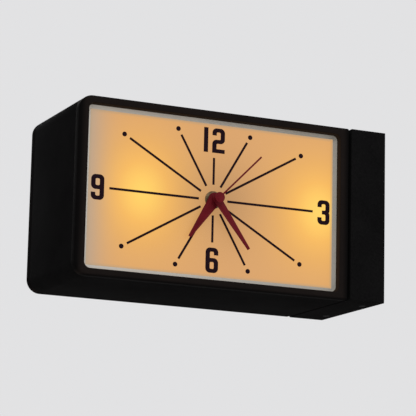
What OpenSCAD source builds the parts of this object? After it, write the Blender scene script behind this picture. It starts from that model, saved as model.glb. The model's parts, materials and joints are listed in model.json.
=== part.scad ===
// Double-sided wall clock: a lit box with a dial on both faces, carried on a wall block.
// The wall is the plane X = 0, the clock reaches along -X, the front dial looks along -Y, Z is up.
// Each face is drawn lying flat: x to the right, y up, z towards the viewer, dial surface at z = 0.

/* [Case] */
// Width of the clock case
body_w = 333; // [300:1:380]
// Height of the clock case
body_h = 200; // [190:1:230]
// Depth of the clock case over both rims
body_d = 154.8; // [140:0.1:180]
// Radius of the two long corners at the free end
corner_r = 16; // [12:0.5:18]
// Radius of the two long corners at the wall end
end_r = 2; // [1:0.5:10]
// Wall of the case tube
case_wall = 2; // [1.5:0.1:3]

/* [Bezel] */
// Depth of a bezel's visible rim
rim_d = 12; // [9:0.5:14]
// Fillet round the outer edge of a rim
edge_r = 3; // [1:0.5:4]
// Width of a bezel's upright rails, seen from the front
rail_side = 12.2; // [10:0.1:18]
// Width of a bezel's level rails, seen from the front
rail_top = 9; // [8:0.1:14]
// Corner radius of the window
window_r = 6; // [2:0.5:8]
// How far the window's walls open out towards the front
window_draft = 1; // [0.5:0.1:2]
// Straight land at the inner edge of those walls
lip_t = 0.8; // [0.5:0.1:1.5]
// From the front of the rim back to the dial surface
dial_sink = 10.4; // [8:0.1:12]
// Length of the skirt that plugs into the case tube
skirt_l = 12; // [8:0.5:18]
// Wall of the skirt
skirt_t = 2; // [1.5:0.1:3]

/* [Dial] */
// White border at the sides of the lit dial
border_side = 4.3; // [2:0.1:5]
// White border above and below the lit dial
border_top = 4; // [2:0.1:6]
// Corner radius of the lit area
lit_r = 0.5; // [0.5:0.1:3]
// Depth of the white surround
surround_t = 2.5; // [2:0.1:3.5]
// Thickness of the opal dial panel
dial_t = 3; // [2:0.1:5]
// Thickness of the frame behind the dial
retainer_t = 3; // [2:0.1:5]
// Width of that frame
retainer_w = 9; // [6:0.5:11]

/* [Markings] */
// Thickness of the printed marks
print_t = 0.3; // [0.2:0.05:0.5]
// Width of an hour line
line_w = 2.6; // [1.5:0.1:3]
// Where every hour line starts
line_start = 17.5; // [14:0.5:20]
// Gap between the lines at 12 and 6 and their numerals
line_gap_12 = 5.9; // [4:0.1:12]
// Gap between the lines at 3 and 9 and their numerals
line_gap_3 = 6.2; // [4:0.1:12]
// Distance of the ends of the lines at 1, 5, 7 and 11 from the lit edge
line_in_1 = 19.2; // [14:0.1:30]
// Distance of the ends of the lines at 2, 4, 8 and 10 from the lit edge
line_in_2 = 54.9; // [40:0.1:70]
// Gap from the end of a line to the middle of its dot
dot_gap = 7.5; // [6:0.1:10]
// Radius of a dot
dot_r = 2.35; // [1.5:0.05:3]
// Height of a numeral
numeral_h = 28.4; // [24:0.1:30]
// Width of a numeral
numeral_w = 15.4; // [14:0.1:18]
// Upright stroke of a numeral
stem_w = 5.2; // [3:0.1:5.5]
// Level stroke of a numeral
bar_w = 4.5; // [3:0.1:5]
// Corner radius inside a numeral's stroke
counter_r = 1.5; // [0.5:0.1:1.5]
// Height of a hook's end over the middle of its numeral
hook_up = 5.9; // [5:0.1:7]
// Height of the bowl of the 6 and the 9
bowl_h = 16.7; // [14:0.1:18]
// Height of the upper part of the 2
upper_h = 17.6; // [15:0.1:18]
// Reach of the middle bar of the 3 past its middle
three_bar = 2; // [1:0.1:4]
// Gap between the 12 or the 6 and the lit edge
numeral_top_gap = 4.4; // [3:0.1:8]
// Gap between the 3 or the 9 and the lit edge
numeral_side_gap = 3.4; // [2:0.1:8]

/* [Hands] */
// Length of the hour hand
hour_len = 54; // [44:1:60]
// Length of the minute hand
minute_len = 67.4; // [60:0.1:80]
// Length of the second hand
second_len = 71.9; // [60:0.1:80]
// Clock angle of the hour hand as drawn
hour_angle = 213.5; // [0:0.1:360]
// Clock angle of the minute hand as drawn
minute_angle = 143.1; // [0:0.1:360]
// Clock angle of the second hand as drawn
second_angle = 44.4; // [0:0.1:360]
// Height of the hour hand over the dial
hour_z = 4.6; // [4.5:0.1:5.5]
// Height of the minute hand over the dial
minute_z = 10.1; // [9.5:0.1:11]
// Height of the second hand over the dial
second_z = 18.2; // [16:0.1:19]
// Thickness of a hand
hand_t = 0.8; // [0.5:0.1:1.2]
// Width of the hour hand at its root
hour_root_w = 14.5; // [8:0.5:17]
// Width of the minute hand at its root
minute_root_w = 9.8; // [6:0.1:12]
// Width of both hands at the tip
tip_w = 3.3; // [1.5:0.1:4]
// Radius of the hour hand's hub
hour_hub_r = 7.6; // [6:0.1:8]
// Radius of the minute hand's hub
minute_hub_r = 5; // [4.5:0.1:6]
// Radius of the second hand's cap
second_hub_r = 5.9; // [4:0.1:6.5]
// Width of the second hand
needle_w = 1.9; // [0.8:0.1:2.4]
// Radius of the tube under the second hand's cap
cap_tube_r = 3.3; // [2:0.1:4]
// Length of that tube
cap_tube_l = 5; // [3:0.5:5]
// Wall of the collets of the hour and minute hands
collet_t = 1.3; // [0.8:0.1:1.6]
// Height of a collet over its hand
collet_h = 1; // [0.5:0.1:1.5]

/* [Movement] */
// Side of the square movement
movement_s = 56; // [54:1:60]
// Depth of the movement
movement_d = 17.5; // [17.2:0.1:20]
// Wall of the movement
movement_wall = 1.5; // [1:0.1:2]
// Corner radius of the movement
movement_r = 3; // [1:0.5:4]
// Outer radius of the threaded bush through the dial
bush_r = 4; // [3.6:0.1:4.5]
// Height of the bush over the dial
bush_z = 4; // [3.8:0.1:4.2]
// Radius of the washer on the dial
washer_r = 10; // [9:0.1:12]
// Thickness of that washer
washer_t = 1; // [0.5:0.1:1.2]
// Corner radius of the hexagon nut
nut_r = 7.6; // [6.5:0.1:8.5]
// Thickness of the nut
nut_t = 2.5; // [1.5:0.1:2.6]
// Radius of the hour pipe
hour_pipe_r = 2.5; // [2.4:0.1:2.8]
// Radius of the minute pipe
minute_pipe_r = 1.6; // [1.4:0.1:1.7]
// Radius of the second arbor
second_arbor_r = 0.5; // [0.4:0.05:0.6]
// Radius of the arbors beside the middle
side_arbor_r = 0.6; // [0.5:0.05:0.7]
// Radius of their front pivots
pivot_r = 0.35; // [0.3:0.05:0.4]
// Radius of the setting arbor
set_arbor_r = 1; // [0.8:0.1:1.2]
// Radius of the setting knob
knob_r = 7; // [5:0.5:9]
// Length of the setting knob
knob_l = 4; // [3:0.5:6]
// Radius of a finger groove in the knob
groove_r = 0.9; // [0.6:0.1:1.2]
// Distance of a groove's middle outside the knob
groove_out = 0.4; // [0.2:0.1:0.5]
// Module of the 12 to 1 gears behind the dial
motion_m = 0.5; // [0.45:0.01:0.52]
// Module of the seconds to third wheel gears
second_m = 0.27; // [0.26:0.01:0.29]
// Radius of the battery
battery_r = 7.15; // [7:0.05:7.25]
// Length of the battery's can
battery_l = 49; // [48:0.5:49.5]
// Radius of the battery's pole
pole_r = 2.7; // [2.5:0.1:2.9]
// Height of the battery's pole
pole_l = 1; // [0.8:0.1:1.2]
// Sheet of the battery contacts
contact_t = 0.4; // [0.3:0.1:0.5]
// Radius of the battery's spring
spring_r = 2.5; // [2:0.1:3]
// Length of the motor coil
coil_l = 24; // [20:1:28]
// Radius of the coil's winding
wind_r = 3.2; // [2.5:0.1:3.5]
// Thickness of the coil's cheeks
cheek_t = 1.4; // [1:0.1:2]
// Height of the coil's cheeks
cheek_h = 9; // [8.5:0.5:10]
// Reach of the cheeks past the winding
cheek_over = 1; // [0.5:0.1:1.5]
// Gap between the winding and the movement's wall
coil_gap = 1.5; // [1.5:0.1:2.5]

/* [Lamps] */
// Distance of the left lamp from the free end of the case
lamp_left_in = 78.5; // [60:0.5:95]
// Distance of the right lamp from the wall end of the case
lamp_right_in = 44.5; // [42:0.5:60]
// Radius of a lamp's bulb
bulb_r = 22; // [18:0.5:24]
// Height of a bulb's middle over the rail
bulb_up = 81; // [74:1:90]
// Radius of a lamp's screw cap
cap_r = 6.9; // [6.5:0.1:7.2]
// Radius of a lamp's neck, and of the mouth of its holder
neck_r = 10; // [9:0.5:11]
// Gap between a lamp's neck and its holder
neck_gap = 1; // [0.5:0.5:3]
// Radius of a lamp holder
holder_r = 14; // [13:0.5:16]
// Height of a lamp holder
holder_h = 44; // [40:1:50]
// Height of the floor of a holder's socket
holder_floor = 17; // [15:1:20]
// Height of the wire hole in a holder
holder_hole_z = 10; // [9:0.5:11]
// Step in from a holder's base to its upper part
holder_step = 2; // [1:0.5:2]
// Height of that step
holder_slope = 3; // [2:0.5:5]
// Depth of the chamfer at a holder's mouth
mouth_edge = 2; // [1:0.5:4]
// Width of the lamp rail
rail_w = 34; // [32:1:40]
// Height of the lamp rail's flanges
rail_h = 7; // [4:0.5:8]
// Length of the lamp rail past each lamp
rail_over = 24; // [16:1:26]
// Sheet of the lamp rail
rail_t = 1.5; // [1:0.1:2]
// Radius of a lamp lead
lead_r = 2.2; // [1.8:0.1:2.3]
// Length of a lead inside its holder
lead_in = 5; // [3:0.5:6]

/* [Wall block] */
// Thickness of the wall block, from the wall
block_w = 44; // [40:1:60]
// Shadow gap between the block and the case
joint_gap = 2.5; // [1.5:0.1:4]
// Sheet of the block's cover
cover_t = 2; // [1.5:0.1:3]
// Wall plate thickness
plate_t = 4; // [3:0.5:6]
// Gap between the plate and each side of the cover
plate_gap = 2; // [1:0.5:4]
// Length of the plate's tabs for the cover screws
tab_l = 14; // [12:1:20]
// Width of a tab
tab_w = 24; // [14:1:30]
// Thickness of a tab
tab_t = 5; // [3:0.5:6]
// Level distance between the wall screw holes
mount_y = 100; // [80:1:110]
// Upright distance between the wall screw holes
mount_z = 150; // [120:1:160]
// Radius of the wall screw holes
mount_r = 3.5; // [2.5:0.1:4.5]
// Radius of the carrying stem
stem_r = 15; // [12:0.5:18]
// Wall of the stem
stem_wall = 3; // [2:0.5:4]
// Radius of the stem's shoulder and of its spacer ring
shoulder_r = 24; // [22:0.5:30]
// Thickness of the shoulder
shoulder_t = 6; // [4:0.5:8]
// Thickness of the stem nut
stem_nut_t = 8; // [6:0.5:10]
// Thickness of the stem washer
stem_washer_t = 3; // [2:0.5:4]
// Reach of the stem washer past the shoulder
stem_washer_w = 4; // [2:0.5:6]
// Length of the stem's thread past its nut
thread_over = 2; // [1:0.5:4]
// Height of the cable entry over the lower edge
cable_up = 40; // [38:1:50]
// Radius of the cable entry
cable_r = 5; // [5:0.1:6]
// Wall of the grommet in the wall plate
grommet_wall = 3; // [2:0.5:4]
// Reach of the grommet's flange
grommet_flange = 3; // [2:0.5:4]
// Wall of the sleeve between the block and the case
sleeve_wall = 2; // [1.5:0.5:3]
// Reach of the sleeve's flange
sleeve_flange = 2; // [1.5:0.5:3]
// Length of the sleeve inside the case
sleeve_over = 3; // [2:0.5:4]
// Thickness of both flanges
flange_t = 2; // [1:0.5:3]
// Depth of the terminal block
terminal_d = 18; // [16:1:20]
// Width of the terminal block
terminal_w = 22; // [20:1:26]
// Height of the terminal block
terminal_h = 34; // [32:1:40]
// Distance of the terminal block from the middle of the plate
terminal_y = 42; // [40:1:50]
// Pitch of its wires
wire_pitch = 10; // [9:0.5:11]
// Radius of the cover screws
screw_r = 2; // [1.5:0.1:2.5]
// Radius of a cover screw's head
head_r = 4; // [3.5:0.1:5]
// Width of the slot in a screw's head
slot_w = 0.8; // [0.5:0.1:1]
// Depth of that slot
slot_d = 0.7; // [0.4:0.1:1]
// Level distance between the cover screws
screw_y = 90; // [70:1:110]

/* [Fits] */
// Gap round a part that is pushed into place
push_fit = 0.1; // [0.05:0.01:0.2]
// Radial gap of a turning arbor or pipe
run_fit = 0.05; // [0.02:0.01:0.09]
// Gap between parts that pass each other
pass_gap = 0.3; // [0.2:0.05:0.5]

/* [Hidden] */
$fn = 64;
hull_fn = 32;
cut = 1;
skin = 0.01;
least_r = 0.5;

// Case and bezel, from the driving sizes
xc = -(block_w + joint_gap + body_w / 2);
dial_y = body_d / 2 - dial_sink;
shell_half = body_d / 2 - rim_d;
inner_w = body_w - 2 * case_wall;
inner_h = body_h - 2 * case_wall;
inner_r = corner_r - case_wall;
inner_end_r = max(end_r - case_wall, least_r);
skirt_w = inner_w - 2 * push_fit;
skirt_h = inner_h - 2 * push_fit;
skirt_r = inner_r - push_fit;
pocket_w = skirt_w - 2 * skirt_t;
pocket_h = skirt_h - 2 * skirt_t;
pocket_r = skirt_r - skirt_t;
seat_w = pocket_w - 2 * push_fit;
seat_h = pocket_h - 2 * push_fit;
seat_r = pocket_r - push_fit;
window_w = body_w - 2 * rail_side;
window_h = body_h - 2 * rail_top;
lit_w = window_w - 2 * border_side;
lit_h = window_h - 2 * border_top;
seam_z = dial_sink - rim_d;

// Marks, measured in from the lit edge
function lit_reach(angle) = min(lit_h / 2 / cos(angle), lit_w / 2 / sin(angle));
numeral_up = lit_h / 2 - numeral_top_gap - numeral_h / 2;
numeral_out = lit_w / 2 - numeral_side_gap - numeral_w / 2;
line_end_12 = numeral_up - numeral_h / 2 - line_gap_12;
line_end_1 = lit_reach(30) - line_in_1;
line_end_2 = lit_reach(60) - line_in_2;
line_end_3 = numeral_out - numeral_w / 2 - line_gap_3;

// Tooth form: root and tip in modules, foot and point as shares of a quarter pitch
tooth_root = 1.2;
tooth_tip = 0.75;
tooth_foot = 1.15;
tooth_point = 0.42;

// Gear teeth: minute to hour is 12 to 1, second to minute is 60 to 1
cannon_teeth = 10;
motion_teeth = 30;
motion_pinion_teeth = 8;
hour_teeth = 32;
second_pinion_teeth = 8;
third_teeth = 60;
third_pinion_teeth = 8;
centre_teeth = 64;
step_teeth = 48;
motion_x = motion_m * (cannon_teeth + motion_teeth) / 2;
third_x = -second_m * (second_pinion_teeth + third_teeth) / 2;
centre_m = -2 * third_x / (third_pinion_teeth + centre_teeth);
step_m = 0.25;

// Levels of the movement, front to back
front_z = -dial_t;
floor_z = front_z - movement_wall;
back_z = front_z - movement_d;
gear_t = 1.2;
layer = 2;
hour_gear_z = floor_z - pass_gap - gear_t;
cannon_z = hour_gear_z - layer;
centre_z = cannon_z - layer;
third_z = centre_z - layer;
step_z = third_z - layer;
pivot_l = 0.8;
bay_h = 2 * battery_r + 2 * pass_gap;
bay_y = -(movement_s / 2 - movement_wall - bay_h / 2);
gear_room_y = bay_y + bay_h / 2 + movement_wall;
room_top = movement_s / 2 - movement_wall;

// Lamps and wall block
lamp_left = lamp_left_in - body_w / 2;
lamp_right = body_w / 2 - lamp_right_in;
rail_z = -inner_h / 2 + rail_t;
lead_hole_r = lead_r + pass_gap;
sleeve_r = cable_r + sleeve_wall;
grommet_r = cable_r + grommet_wall;
cable_z = cable_up - body_h / 2;
plate_w = body_d - 2 * cover_t - 2 * plate_gap;
plate_h = body_h - 2 * cover_t - 2 * push_fit;
shoulder_x = -block_w + cover_t;
wall_in_x = -(block_w + joint_gap + case_wall);
stem_nut_x = wall_in_x - stem_washer_t - stem_nut_t;
stem_end = stem_nut_x - thread_over;
sleeve_end = wall_in_x - sleeve_over;
terminal_x = -plate_t - terminal_d / 2;

// Routes of the two lamp leads, each stretch measured from what holds it there
function from(place, steps) = [for (step = steps) place + step];
wires_out = [terminal_x, terminal_y - terminal_w / 2, cable_z];
sleeve_in = [shoulder_x, 0, cable_z];
sleeve_out = [sleeve_end, 0, cable_z];
socket_right = [xc + lamp_right + holder_r - lead_in, 0, rail_z + holder_hole_z];
socket_left = [xc + lamp_left + holder_r - lead_in, 0, rail_z + holder_hole_z];
rail_side_right = [sleeve_end, -rail_w / 2, -inner_h / 2 + lead_r];
rail_side_left = [socket_left[0], -rail_w / 2, -inner_h / 2 + lead_r];
lead_route_right = concat(
    from(wires_out + [0, 0, wire_pitch], [[0, 4, 0], [0, -2, 0], [-1, -10, -1], [-7, -23, -5.5]]),
    from(sleeve_in, [[12, 0, 2.6], [-1, 0, 2.6]]),
    from(sleeve_out, [[-3.5, 0, 2.6], [-10.5, 0, 1], [-14.5, 0, -5]]),
    from(socket_right, [[14.5, 0, 12.5], [12, 0, 4.5], [7.5, 0, 0], [3, 0, 0], [0, 0, 0]])
);
lead_route_left = concat(
    from(wires_out - [0, 0, wire_pitch], [[0, 4, 0], [0, -2, 0], [-1, -10, 1], [-7, -23, 5.5]]),
    from(sleeve_in, [[12, 0, -2.6], [-1, 0, -2.6]]),
    from(sleeve_out, [[-2.5, 0, -2.6], [-9.5, -4, -4], [-15.5, -11, -11], [-21.5, -19, -23]]),
    from(rail_side_right, [[-32.5, -6, 2.8], [-52.5, -6, 0.3], [-100, -6, 0.3]]),
    from(rail_side_left, [[92, -6, 0.3], [52, -6, 0.3], [40, -5.5, 2.8]]),
    from(socket_left, [[31, -20.5, -2], [24, -15, 0], [17, -6.5, 0], [9, -0.5, 0], [3, 0, 0], [0, 0, 0]])
);
lead_sides = 10;

SIDES = ["front", "rear"];
CASE_NODES = [
    "case_shell", "wall_plate", "wall_block", "block_screws", "stem", "stem_spacer", "stem_washer",
    "stem_nut", "cable_grommet", "cable_sleeve", "terminal_block", "lamp_rail", "lamp_holder_left",
    "lamp_holder_right", "lamp_left_bulb", "lamp_right_bulb", "lamp_lead_left", "lamp_lead_right"
];
FACE_NODES = [
    "bezel", "dial_surround", "dial", "dial_markings", "dial_retainer", "dial_washer", "dial_nut",
    "movement_case", "movement_cover", "battery", "battery_contacts", "coil", "hour_hand", "hour_wheel",
    "minute_hand", "minute_pipe", "second_hand", "second_arbor", "motion_wheel", "set_knob", "third_wheel"
];

// Stands a flat face up and puts it on the front or the rear of the case
module stand(side) {
    translate([xc, 0, 0])
        rotate([0, 0, side == "front" ? 0 : 180])
            translate([0, -dial_y, 0])
                rotate([90, 0, 0])
                    children();
}

// Turns a face's drawing left to right where the wall is on the viewer's left
module to_wall(side) {
    mirror([side == "front" ? 0 : 1, 0, 0])
        children();
}

// Extrudes a flat outline between two heights
module slab(z0, z1) {
    translate([0, 0, z0])
        linear_extrude(z1 - z0)
            children();
}

// Rectangle with round corners
module rrect(w, h, r) {
    square([w - 2 * r, h], center = true);
    square([w, h - 2 * r], center = true);
    for (x = [-1, 1], y = [-1, 1])
        translate([x * (w / 2 - r), y * (h / 2 - r)])
            circle(r);
}

// Rectangle with its own corner radius at the wall end, on the right
module end_rect(w, h, r, wall_r) {
    translate([-w / 2, r - h / 2])
        square([w / 2, h - 2 * r]);
    translate([r - w / 2, -h / 2])
        square([w / 2 - r, h]);
    translate([0, wall_r - h / 2])
        square([w / 2, h - 2 * wall_r]);
    translate([0, -h / 2])
        square([w / 2 - wall_r, h]);
    for (y = [-1, 1]) {
        translate([r - w / 2, y * (h / 2 - r)])
            circle(r);
        translate([w / 2 - wall_r, y * (h / 2 - wall_r)])
            circle(wall_r);
    }
}

// Cylinder along X from x0 to x1
module rod_x(x0, x1, r) {
    translate([x0, 0, 0])
        rotate([0, 90, 0])
            cylinder(r = r, h = x1 - x0);
}

// Points at which a toothed wheel turns from root to tip and back
function gear_points(teeth, m) =
    let (pitch = teeth * m / 2, root = pitch - tooth_root * m, tip = pitch + tooth_tip * m)
    let (quarter = 90 / teeth, root_a = quarter * tooth_foot, tip_a = quarter * tooth_point)
    [for (i = [0:teeth - 1], p = [[root, -root_a], [tip, -tip_a], [tip, tip_a], [root, root_a]])
        let (a = i * 360 / teeth + p[1]) p[0] * [cos(a), sin(a)]];

// Toothed wheel, turned so that a tooth, or a gap, points along +X
module gear(teeth, m, z0, z1, gap_first = false) {
    slab(z0, z1)
        rotate(gap_first ? 180 / teeth : 0)
            polygon(gear_points(teeth, m));
}

// Smooth curve through a route's points
function curve_point(p, i, t) =
    let (n = len(p) - 1, a = p[max(i - 1, 0)], b = p[i], c = p[min(i + 1, n)], d = p[min(i + 2, n)])
    0.5 * (2 * b + (c - a) * t + (2 * a - 5 * b + 4 * c - d) * t * t + (3 * b - a - 3 * c + d) * t * t * t);
function curve(p) = concat([for (i = [0:len(p) - 2], k = [0:1]) curve_point(p, i, k / 2)], [p[len(p) - 1]]);
function unit(v) = v / norm(v);

// Round lead swept along a route
module lead(route) {
    line = curve(route);
    n = len(line);
    reference = [0.15, 0.35, 1];
    rings = [for (i = [0:n - 1])
        let (t = unit(line[min(i + 1, n - 1)] - line[max(i - 1, 0)]))
        let (u = unit(cross(t, reference)), v = cross(u, t))
        for (k = [0:lead_sides - 1])
            let (a = 360 * k / lead_sides) line[i] + lead_r * (cos(a) * u + sin(a) * v)];
    sides = [for (i = [0:n - 2], k = [0:lead_sides - 1])
        let (j = (k + 1) % lead_sides, a = i * lead_sides, b = a + lead_sides)
        each [[a + k, b + j, b + k], [a + k, a + j, b + j]]];
    first = [for (k = [1:lead_sides - 2]) [0, k + 1, k]];
    last = [for (k = [1:lead_sides - 2]) let (e = (n - 1) * lead_sides) [e, e + k, e + k + 1]];
    color("#efe9dc")
        polyhedron(rings, concat(sides, first, last));
}

// Case tube, open at both faces, with the stem and cable holes in its wall end
module case_shell() {
    color("#1c1c1e")
        difference() {
            translate([xc, shell_half, 0])
                rotate([90, 0, 0])
                    linear_extrude(2 * shell_half)
                        difference() {
                            end_rect(body_w, body_h, corner_r, end_r);
                            end_rect(inner_w, inner_h, inner_r, inner_end_r);
                        }
            rod_x(wall_in_x - cut, -block_w, stem_r + push_fit);
            translate([0, 0, cable_z])
                rod_x(wall_in_x - cut, -block_w, sleeve_r + push_fit);
        }
}

// Plate that the wall screws hold, with folded tabs for the cover screws
module wall_plate() {
    color("#8d9094")
        difference() {
            union() {
                translate([-plate_t, -plate_w / 2, -plate_h / 2])
                    cube([plate_t, plate_w, plate_h]);
                for (y = [-1, 1], z = [-1, 1])
                    translate([-plate_t - tab_l / 2, y * screw_y / 2, z * (plate_h / 2 - tab_t / 2)])
                        cube([tab_l, tab_w, tab_t], center = true);
            }
            for (y = [-1, 1], z = [-1, 1])
                translate([0, y * mount_y / 2, z * mount_z / 2])
                    rod_x(-plate_t - cut, cut, mount_r);
            translate([0, 0, cable_z])
                rod_x(-plate_t - cut, cut, grommet_r + push_fit);
            at_cover_screws()
                translate([0, 0, -tab_t - cut])
                    cylinder(r = screw_r + push_fit, h = tab_t + 2 * cut);
        }
}

// Puts something at each cover screw, pointing out of the block, at the face of its tab
module at_cover_screws() {
    for (y = [-1, 1], lower = [0, 1])
        translate([-plate_t - tab_l / 2, y * screw_y / 2, 0])
            mirror([0, 0, lower])
                translate([0, 0, plate_h / 2])
                    children();
}

// Box cover over the wall plate, flush with the case
module wall_block() {
    color("#1c1c1e")
        difference() {
            translate([-block_w, -body_d / 2, -body_h / 2])
                cube([block_w, body_d, body_h]);
            translate([-block_w + cover_t, -body_d / 2 + cover_t, -body_h / 2 + cover_t])
                cube([block_w, body_d - 2 * cover_t, body_h - 2 * cover_t]);
            rod_x(-block_w - cut, 0, stem_r + push_fit);
            translate([0, 0, cable_z])
                rod_x(-block_w - cut, -block_w + cover_t + cut, sleeve_r + push_fit);
            at_cover_screws()
                screw_shape(push_fit);
        }
}

// Countersunk screw: shank into the tab, head flush with the cover
module screw_shape(extra) {
    head_z = cover_t + push_fit;
    translate([0, 0, -tab_t])
        cylinder(r = screw_r + extra, h = tab_t + head_z);
    translate([0, 0, head_z - cover_t])
        cylinder(r1 = screw_r + extra, r2 = head_r + extra, h = cover_t);
}

// The cover screws, each with a driver slot
module block_screws() {
    color("#2a2a2c")
        at_cover_screws()
            difference() {
                screw_shape(0);
                translate([0, 0, cover_t + push_fit])
                    cube([2 * head_r, slot_w, 2 * slot_d], center = true);
            }
}

// Hollow stem: foot welded to the wall plate, shoulder behind the cover, thread into the case
module stem() {
    color("#9a9da1")
        difference() {
            union() {
                rod_x(stem_end, -plate_t, stem_r);
                rod_x(-plate_t - shoulder_t, -plate_t, shoulder_r);
                rod_x(shoulder_x, shoulder_x + shoulder_t, shoulder_r);
            }
            rod_x(stem_end - cut, -plate_t + cut, stem_r - stem_wall);
        }
}

// Ring that keeps the shadow gap open
module stem_spacer() {
    color("#161617")
        difference() {
            rod_x(-block_w - joint_gap, -block_w, shoulder_r);
            rod_x(-block_w - joint_gap - cut, -block_w + cut, stem_r + push_fit);
        }
}

// Washer inside the case wall
module stem_washer() {
    color("#a8abaf")
        difference() {
            rod_x(wall_in_x - stem_washer_t, wall_in_x, shoulder_r + stem_washer_w);
            rod_x(wall_in_x - stem_washer_t - cut, wall_in_x + cut, stem_r + push_fit);
        }
}

// Nut that clamps the case to the stem
module stem_nut() {
    color("#b0b3b7")
        difference() {
            translate([stem_nut_x, 0, 0])
                rotate([0, 90, 0])
                    cylinder(r = shoulder_r, h = stem_nut_t, $fn = 6);
            rod_x(stem_nut_x - cut, stem_nut_x + stem_nut_t + cut, stem_r + push_fit);
        }
}

// Rubber tube along X on the cable's line, with a flange from flange_x on
module flanged_tube(x0, x1, r, flange_x, flange_r) {
    color("#141414")
        translate([0, 0, cable_z])
            difference() {
                union() {
                    rod_x(x0, x1, r);
                    rod_x(flange_x, flange_x + flange_t, flange_r);
                }
                rod_x(x0 - flange_t - cut, x1 + flange_t + cut, cable_r);
            }
}

// Where the supply cable comes in from the wall
module cable_grommet() {
    flanged_tube(-plate_t, 0, grommet_r, -plate_t - flange_t, grommet_r + grommet_flange);
}

// Sleeve that takes the lamp leads from the block into the case
module cable_sleeve() {
    flanged_tube(sleeve_end, shoulder_x, sleeve_r, shoulder_x, sleeve_r + sleeve_flange);
}

// Terminal block on the wall plate, with wire holes to both sides and screw wells
module terminal_block() {
    color("#e8e4d8")
        difference() {
            translate([terminal_x, terminal_y, cable_z])
                cube([terminal_d, terminal_w, terminal_h], center = true);
            for (z = [-1, 0, 1])
                translate([terminal_x, terminal_y, cable_z + z * wire_pitch]) {
                    rotate([90, 0, 0])
                        cylinder(r = lead_hole_r, h = terminal_w + cut, center = true);
                    rod_x(-terminal_d, 0, screw_r);
                }
        }
}

// Channel on the case floor that carries the lamp holders
module lamp_rail() {
    rail_l = lamp_right - lamp_left + 2 * rail_over;
    rail_mid = (lamp_right + lamp_left) / 2;
    color("#d9dadb")
        translate([xc + rail_mid - rail_l / 2, 0, -inner_h / 2]) {
            translate([0, -rail_w / 2, 0])
                cube([rail_l, rail_w, rail_t]);
            for (y = [-1, 1])
                translate([0, y * (rail_w - rail_t) / 2 - rail_t / 2, rail_t])
                    cube([rail_l, rail_t, rail_h - rail_t]);
        }
}

// Lamp holder with the screw socket for the cap and the lead's hole in its side
module lamp_holder(x) {
    color("#f1efe8")
        translate([xc + x, 0, rail_z])
            difference() {
                rotate_extrude()
                    polygon([[0, 0], [holder_r, 0], [holder_r, holder_floor],
                        [holder_r - holder_step, holder_floor + holder_slope],
                        [(holder_r - holder_step + neck_r) / 2, holder_h - mouth_edge],
                        [neck_r, holder_h], [0, holder_h]]);
                translate([0, 0, holder_floor])
                    cylinder(r = cap_r + push_fit, h = holder_h);
                translate([0, 0, holder_hole_z])
                    rod_x(holder_r - lead_in - cut, holder_r + cut, lead_hole_r);
            }
}

// Lamp: screw cap in the holder, neck and round bulb
module lamp(x) {
    neck_z = holder_h + neck_gap;
    join_z = bulb_up - sqrt(bulb_r * bulb_r - neck_r * neck_r);
    color("#fff3d6")
        translate([xc + x, 0, rail_z]) {
            translate([0, 0, holder_floor])
                cylinder(r = cap_r, h = neck_z - holder_floor);
            translate([0, 0, neck_z])
                cylinder(r = neck_r, h = join_z - neck_z);
            translate([0, 0, bulb_up])
                intersection() {
                    sphere(bulb_r);
                    translate([-bulb_r, -bulb_r, join_z - bulb_up])
                        cube(2 * bulb_r);
                }
        }
}

// Rim outline from the middle of a round corner outwards: the front outer edge is filleted
module rim_profile(r) {
    translate([0, seam_z])
        square([r, rim_d - edge_r]);
    translate([0, seam_z])
        square([r - edge_r, rim_d]);
    translate([r - edge_r, dial_sink - edge_r])
        intersection() {
            circle(edge_r);
            square(edge_r);
        }
}

// Free half of the rim, drawn on the right: two round corners, the edges between and the middle
module rim_free() {
    reach = body_w / 2 - corner_r;
    rise = body_h / 2 - corner_r;
    for (lower = [0, 1])
        mirror([0, lower, 0])
            translate([0, rise, 0]) {
                translate([reach, 0, 0])
                    rotate_extrude(angle = 90)
                        rim_profile(corner_r);
                rotate([90, 0, 90])
                    linear_extrude(reach)
                        rim_profile(corner_r);
            }
    translate([reach, 0, 0])
        rotate([90, 0, 0])
            linear_extrude(2 * rise, center = true)
                rim_profile(corner_r);
    slab(seam_z, dial_sink)
        translate([0, -rise])
            square([reach, 2 * rise]);
}

// Outline across the rim, filleted at both front edges
module rim_span(w) {
    for (right = [0, 1])
        mirror([right, 0])
            rim_profile(w / 2);
}

// Wall half of the rim: the fillets of its edges meet in mitred corners
module rim_wall() {
    intersection() {
        slab(seam_z, dial_sink)
            intersection() {
                end_rect(body_w, body_h, corner_r, end_r);
                translate([0, -body_h / 2])
                    square([body_w / 2, body_h]);
            }
        rotate([90, 0, 90])
            linear_extrude(body_w / 2)
                rim_span(body_h);
        rotate([90, 0, 0])
            linear_extrude(body_h, center = true)
                rim_span(body_w);
    }
}

// Whole rim, the wall end on the right
module rim_block() {
    rim_wall();
    mirror([1, 0, 0])
        rim_free();
}

// Slope between two round rectangles, the wide one in front
module funnel(w0, h0, r0, z0, w1, h1, r1, z1) {
    hull() {
        slab(z0 - skin, z0)
            rrect(w0, h0, r0, $fn = hull_fn);
        slab(z1, z1 + cut)
            rrect(w1, h1, r1, $fn = hull_fn);
    }
}

// Bezel: flat rim with a deep window, and a skirt that plugs into the case
module bezel() {
    lip_z = surround_t + lip_t;
    color("#222124")
        difference() {
            union() {
                rim_block();
                slab(seam_z - skirt_l, seam_z)
                    rrect(skirt_w, skirt_h, skirt_r);
            }
            slab(seam_z - skirt_l - cut, surround_t)
                rrect(pocket_w, pocket_h, pocket_r);
            slab(0, lip_z)
                rrect(window_w, window_h, window_r);
            funnel(window_w, window_h, window_r, lip_z,
                window_w + 2 * window_draft, window_h + 2 * window_draft, window_r + window_draft, dial_sink);
        }
}

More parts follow.
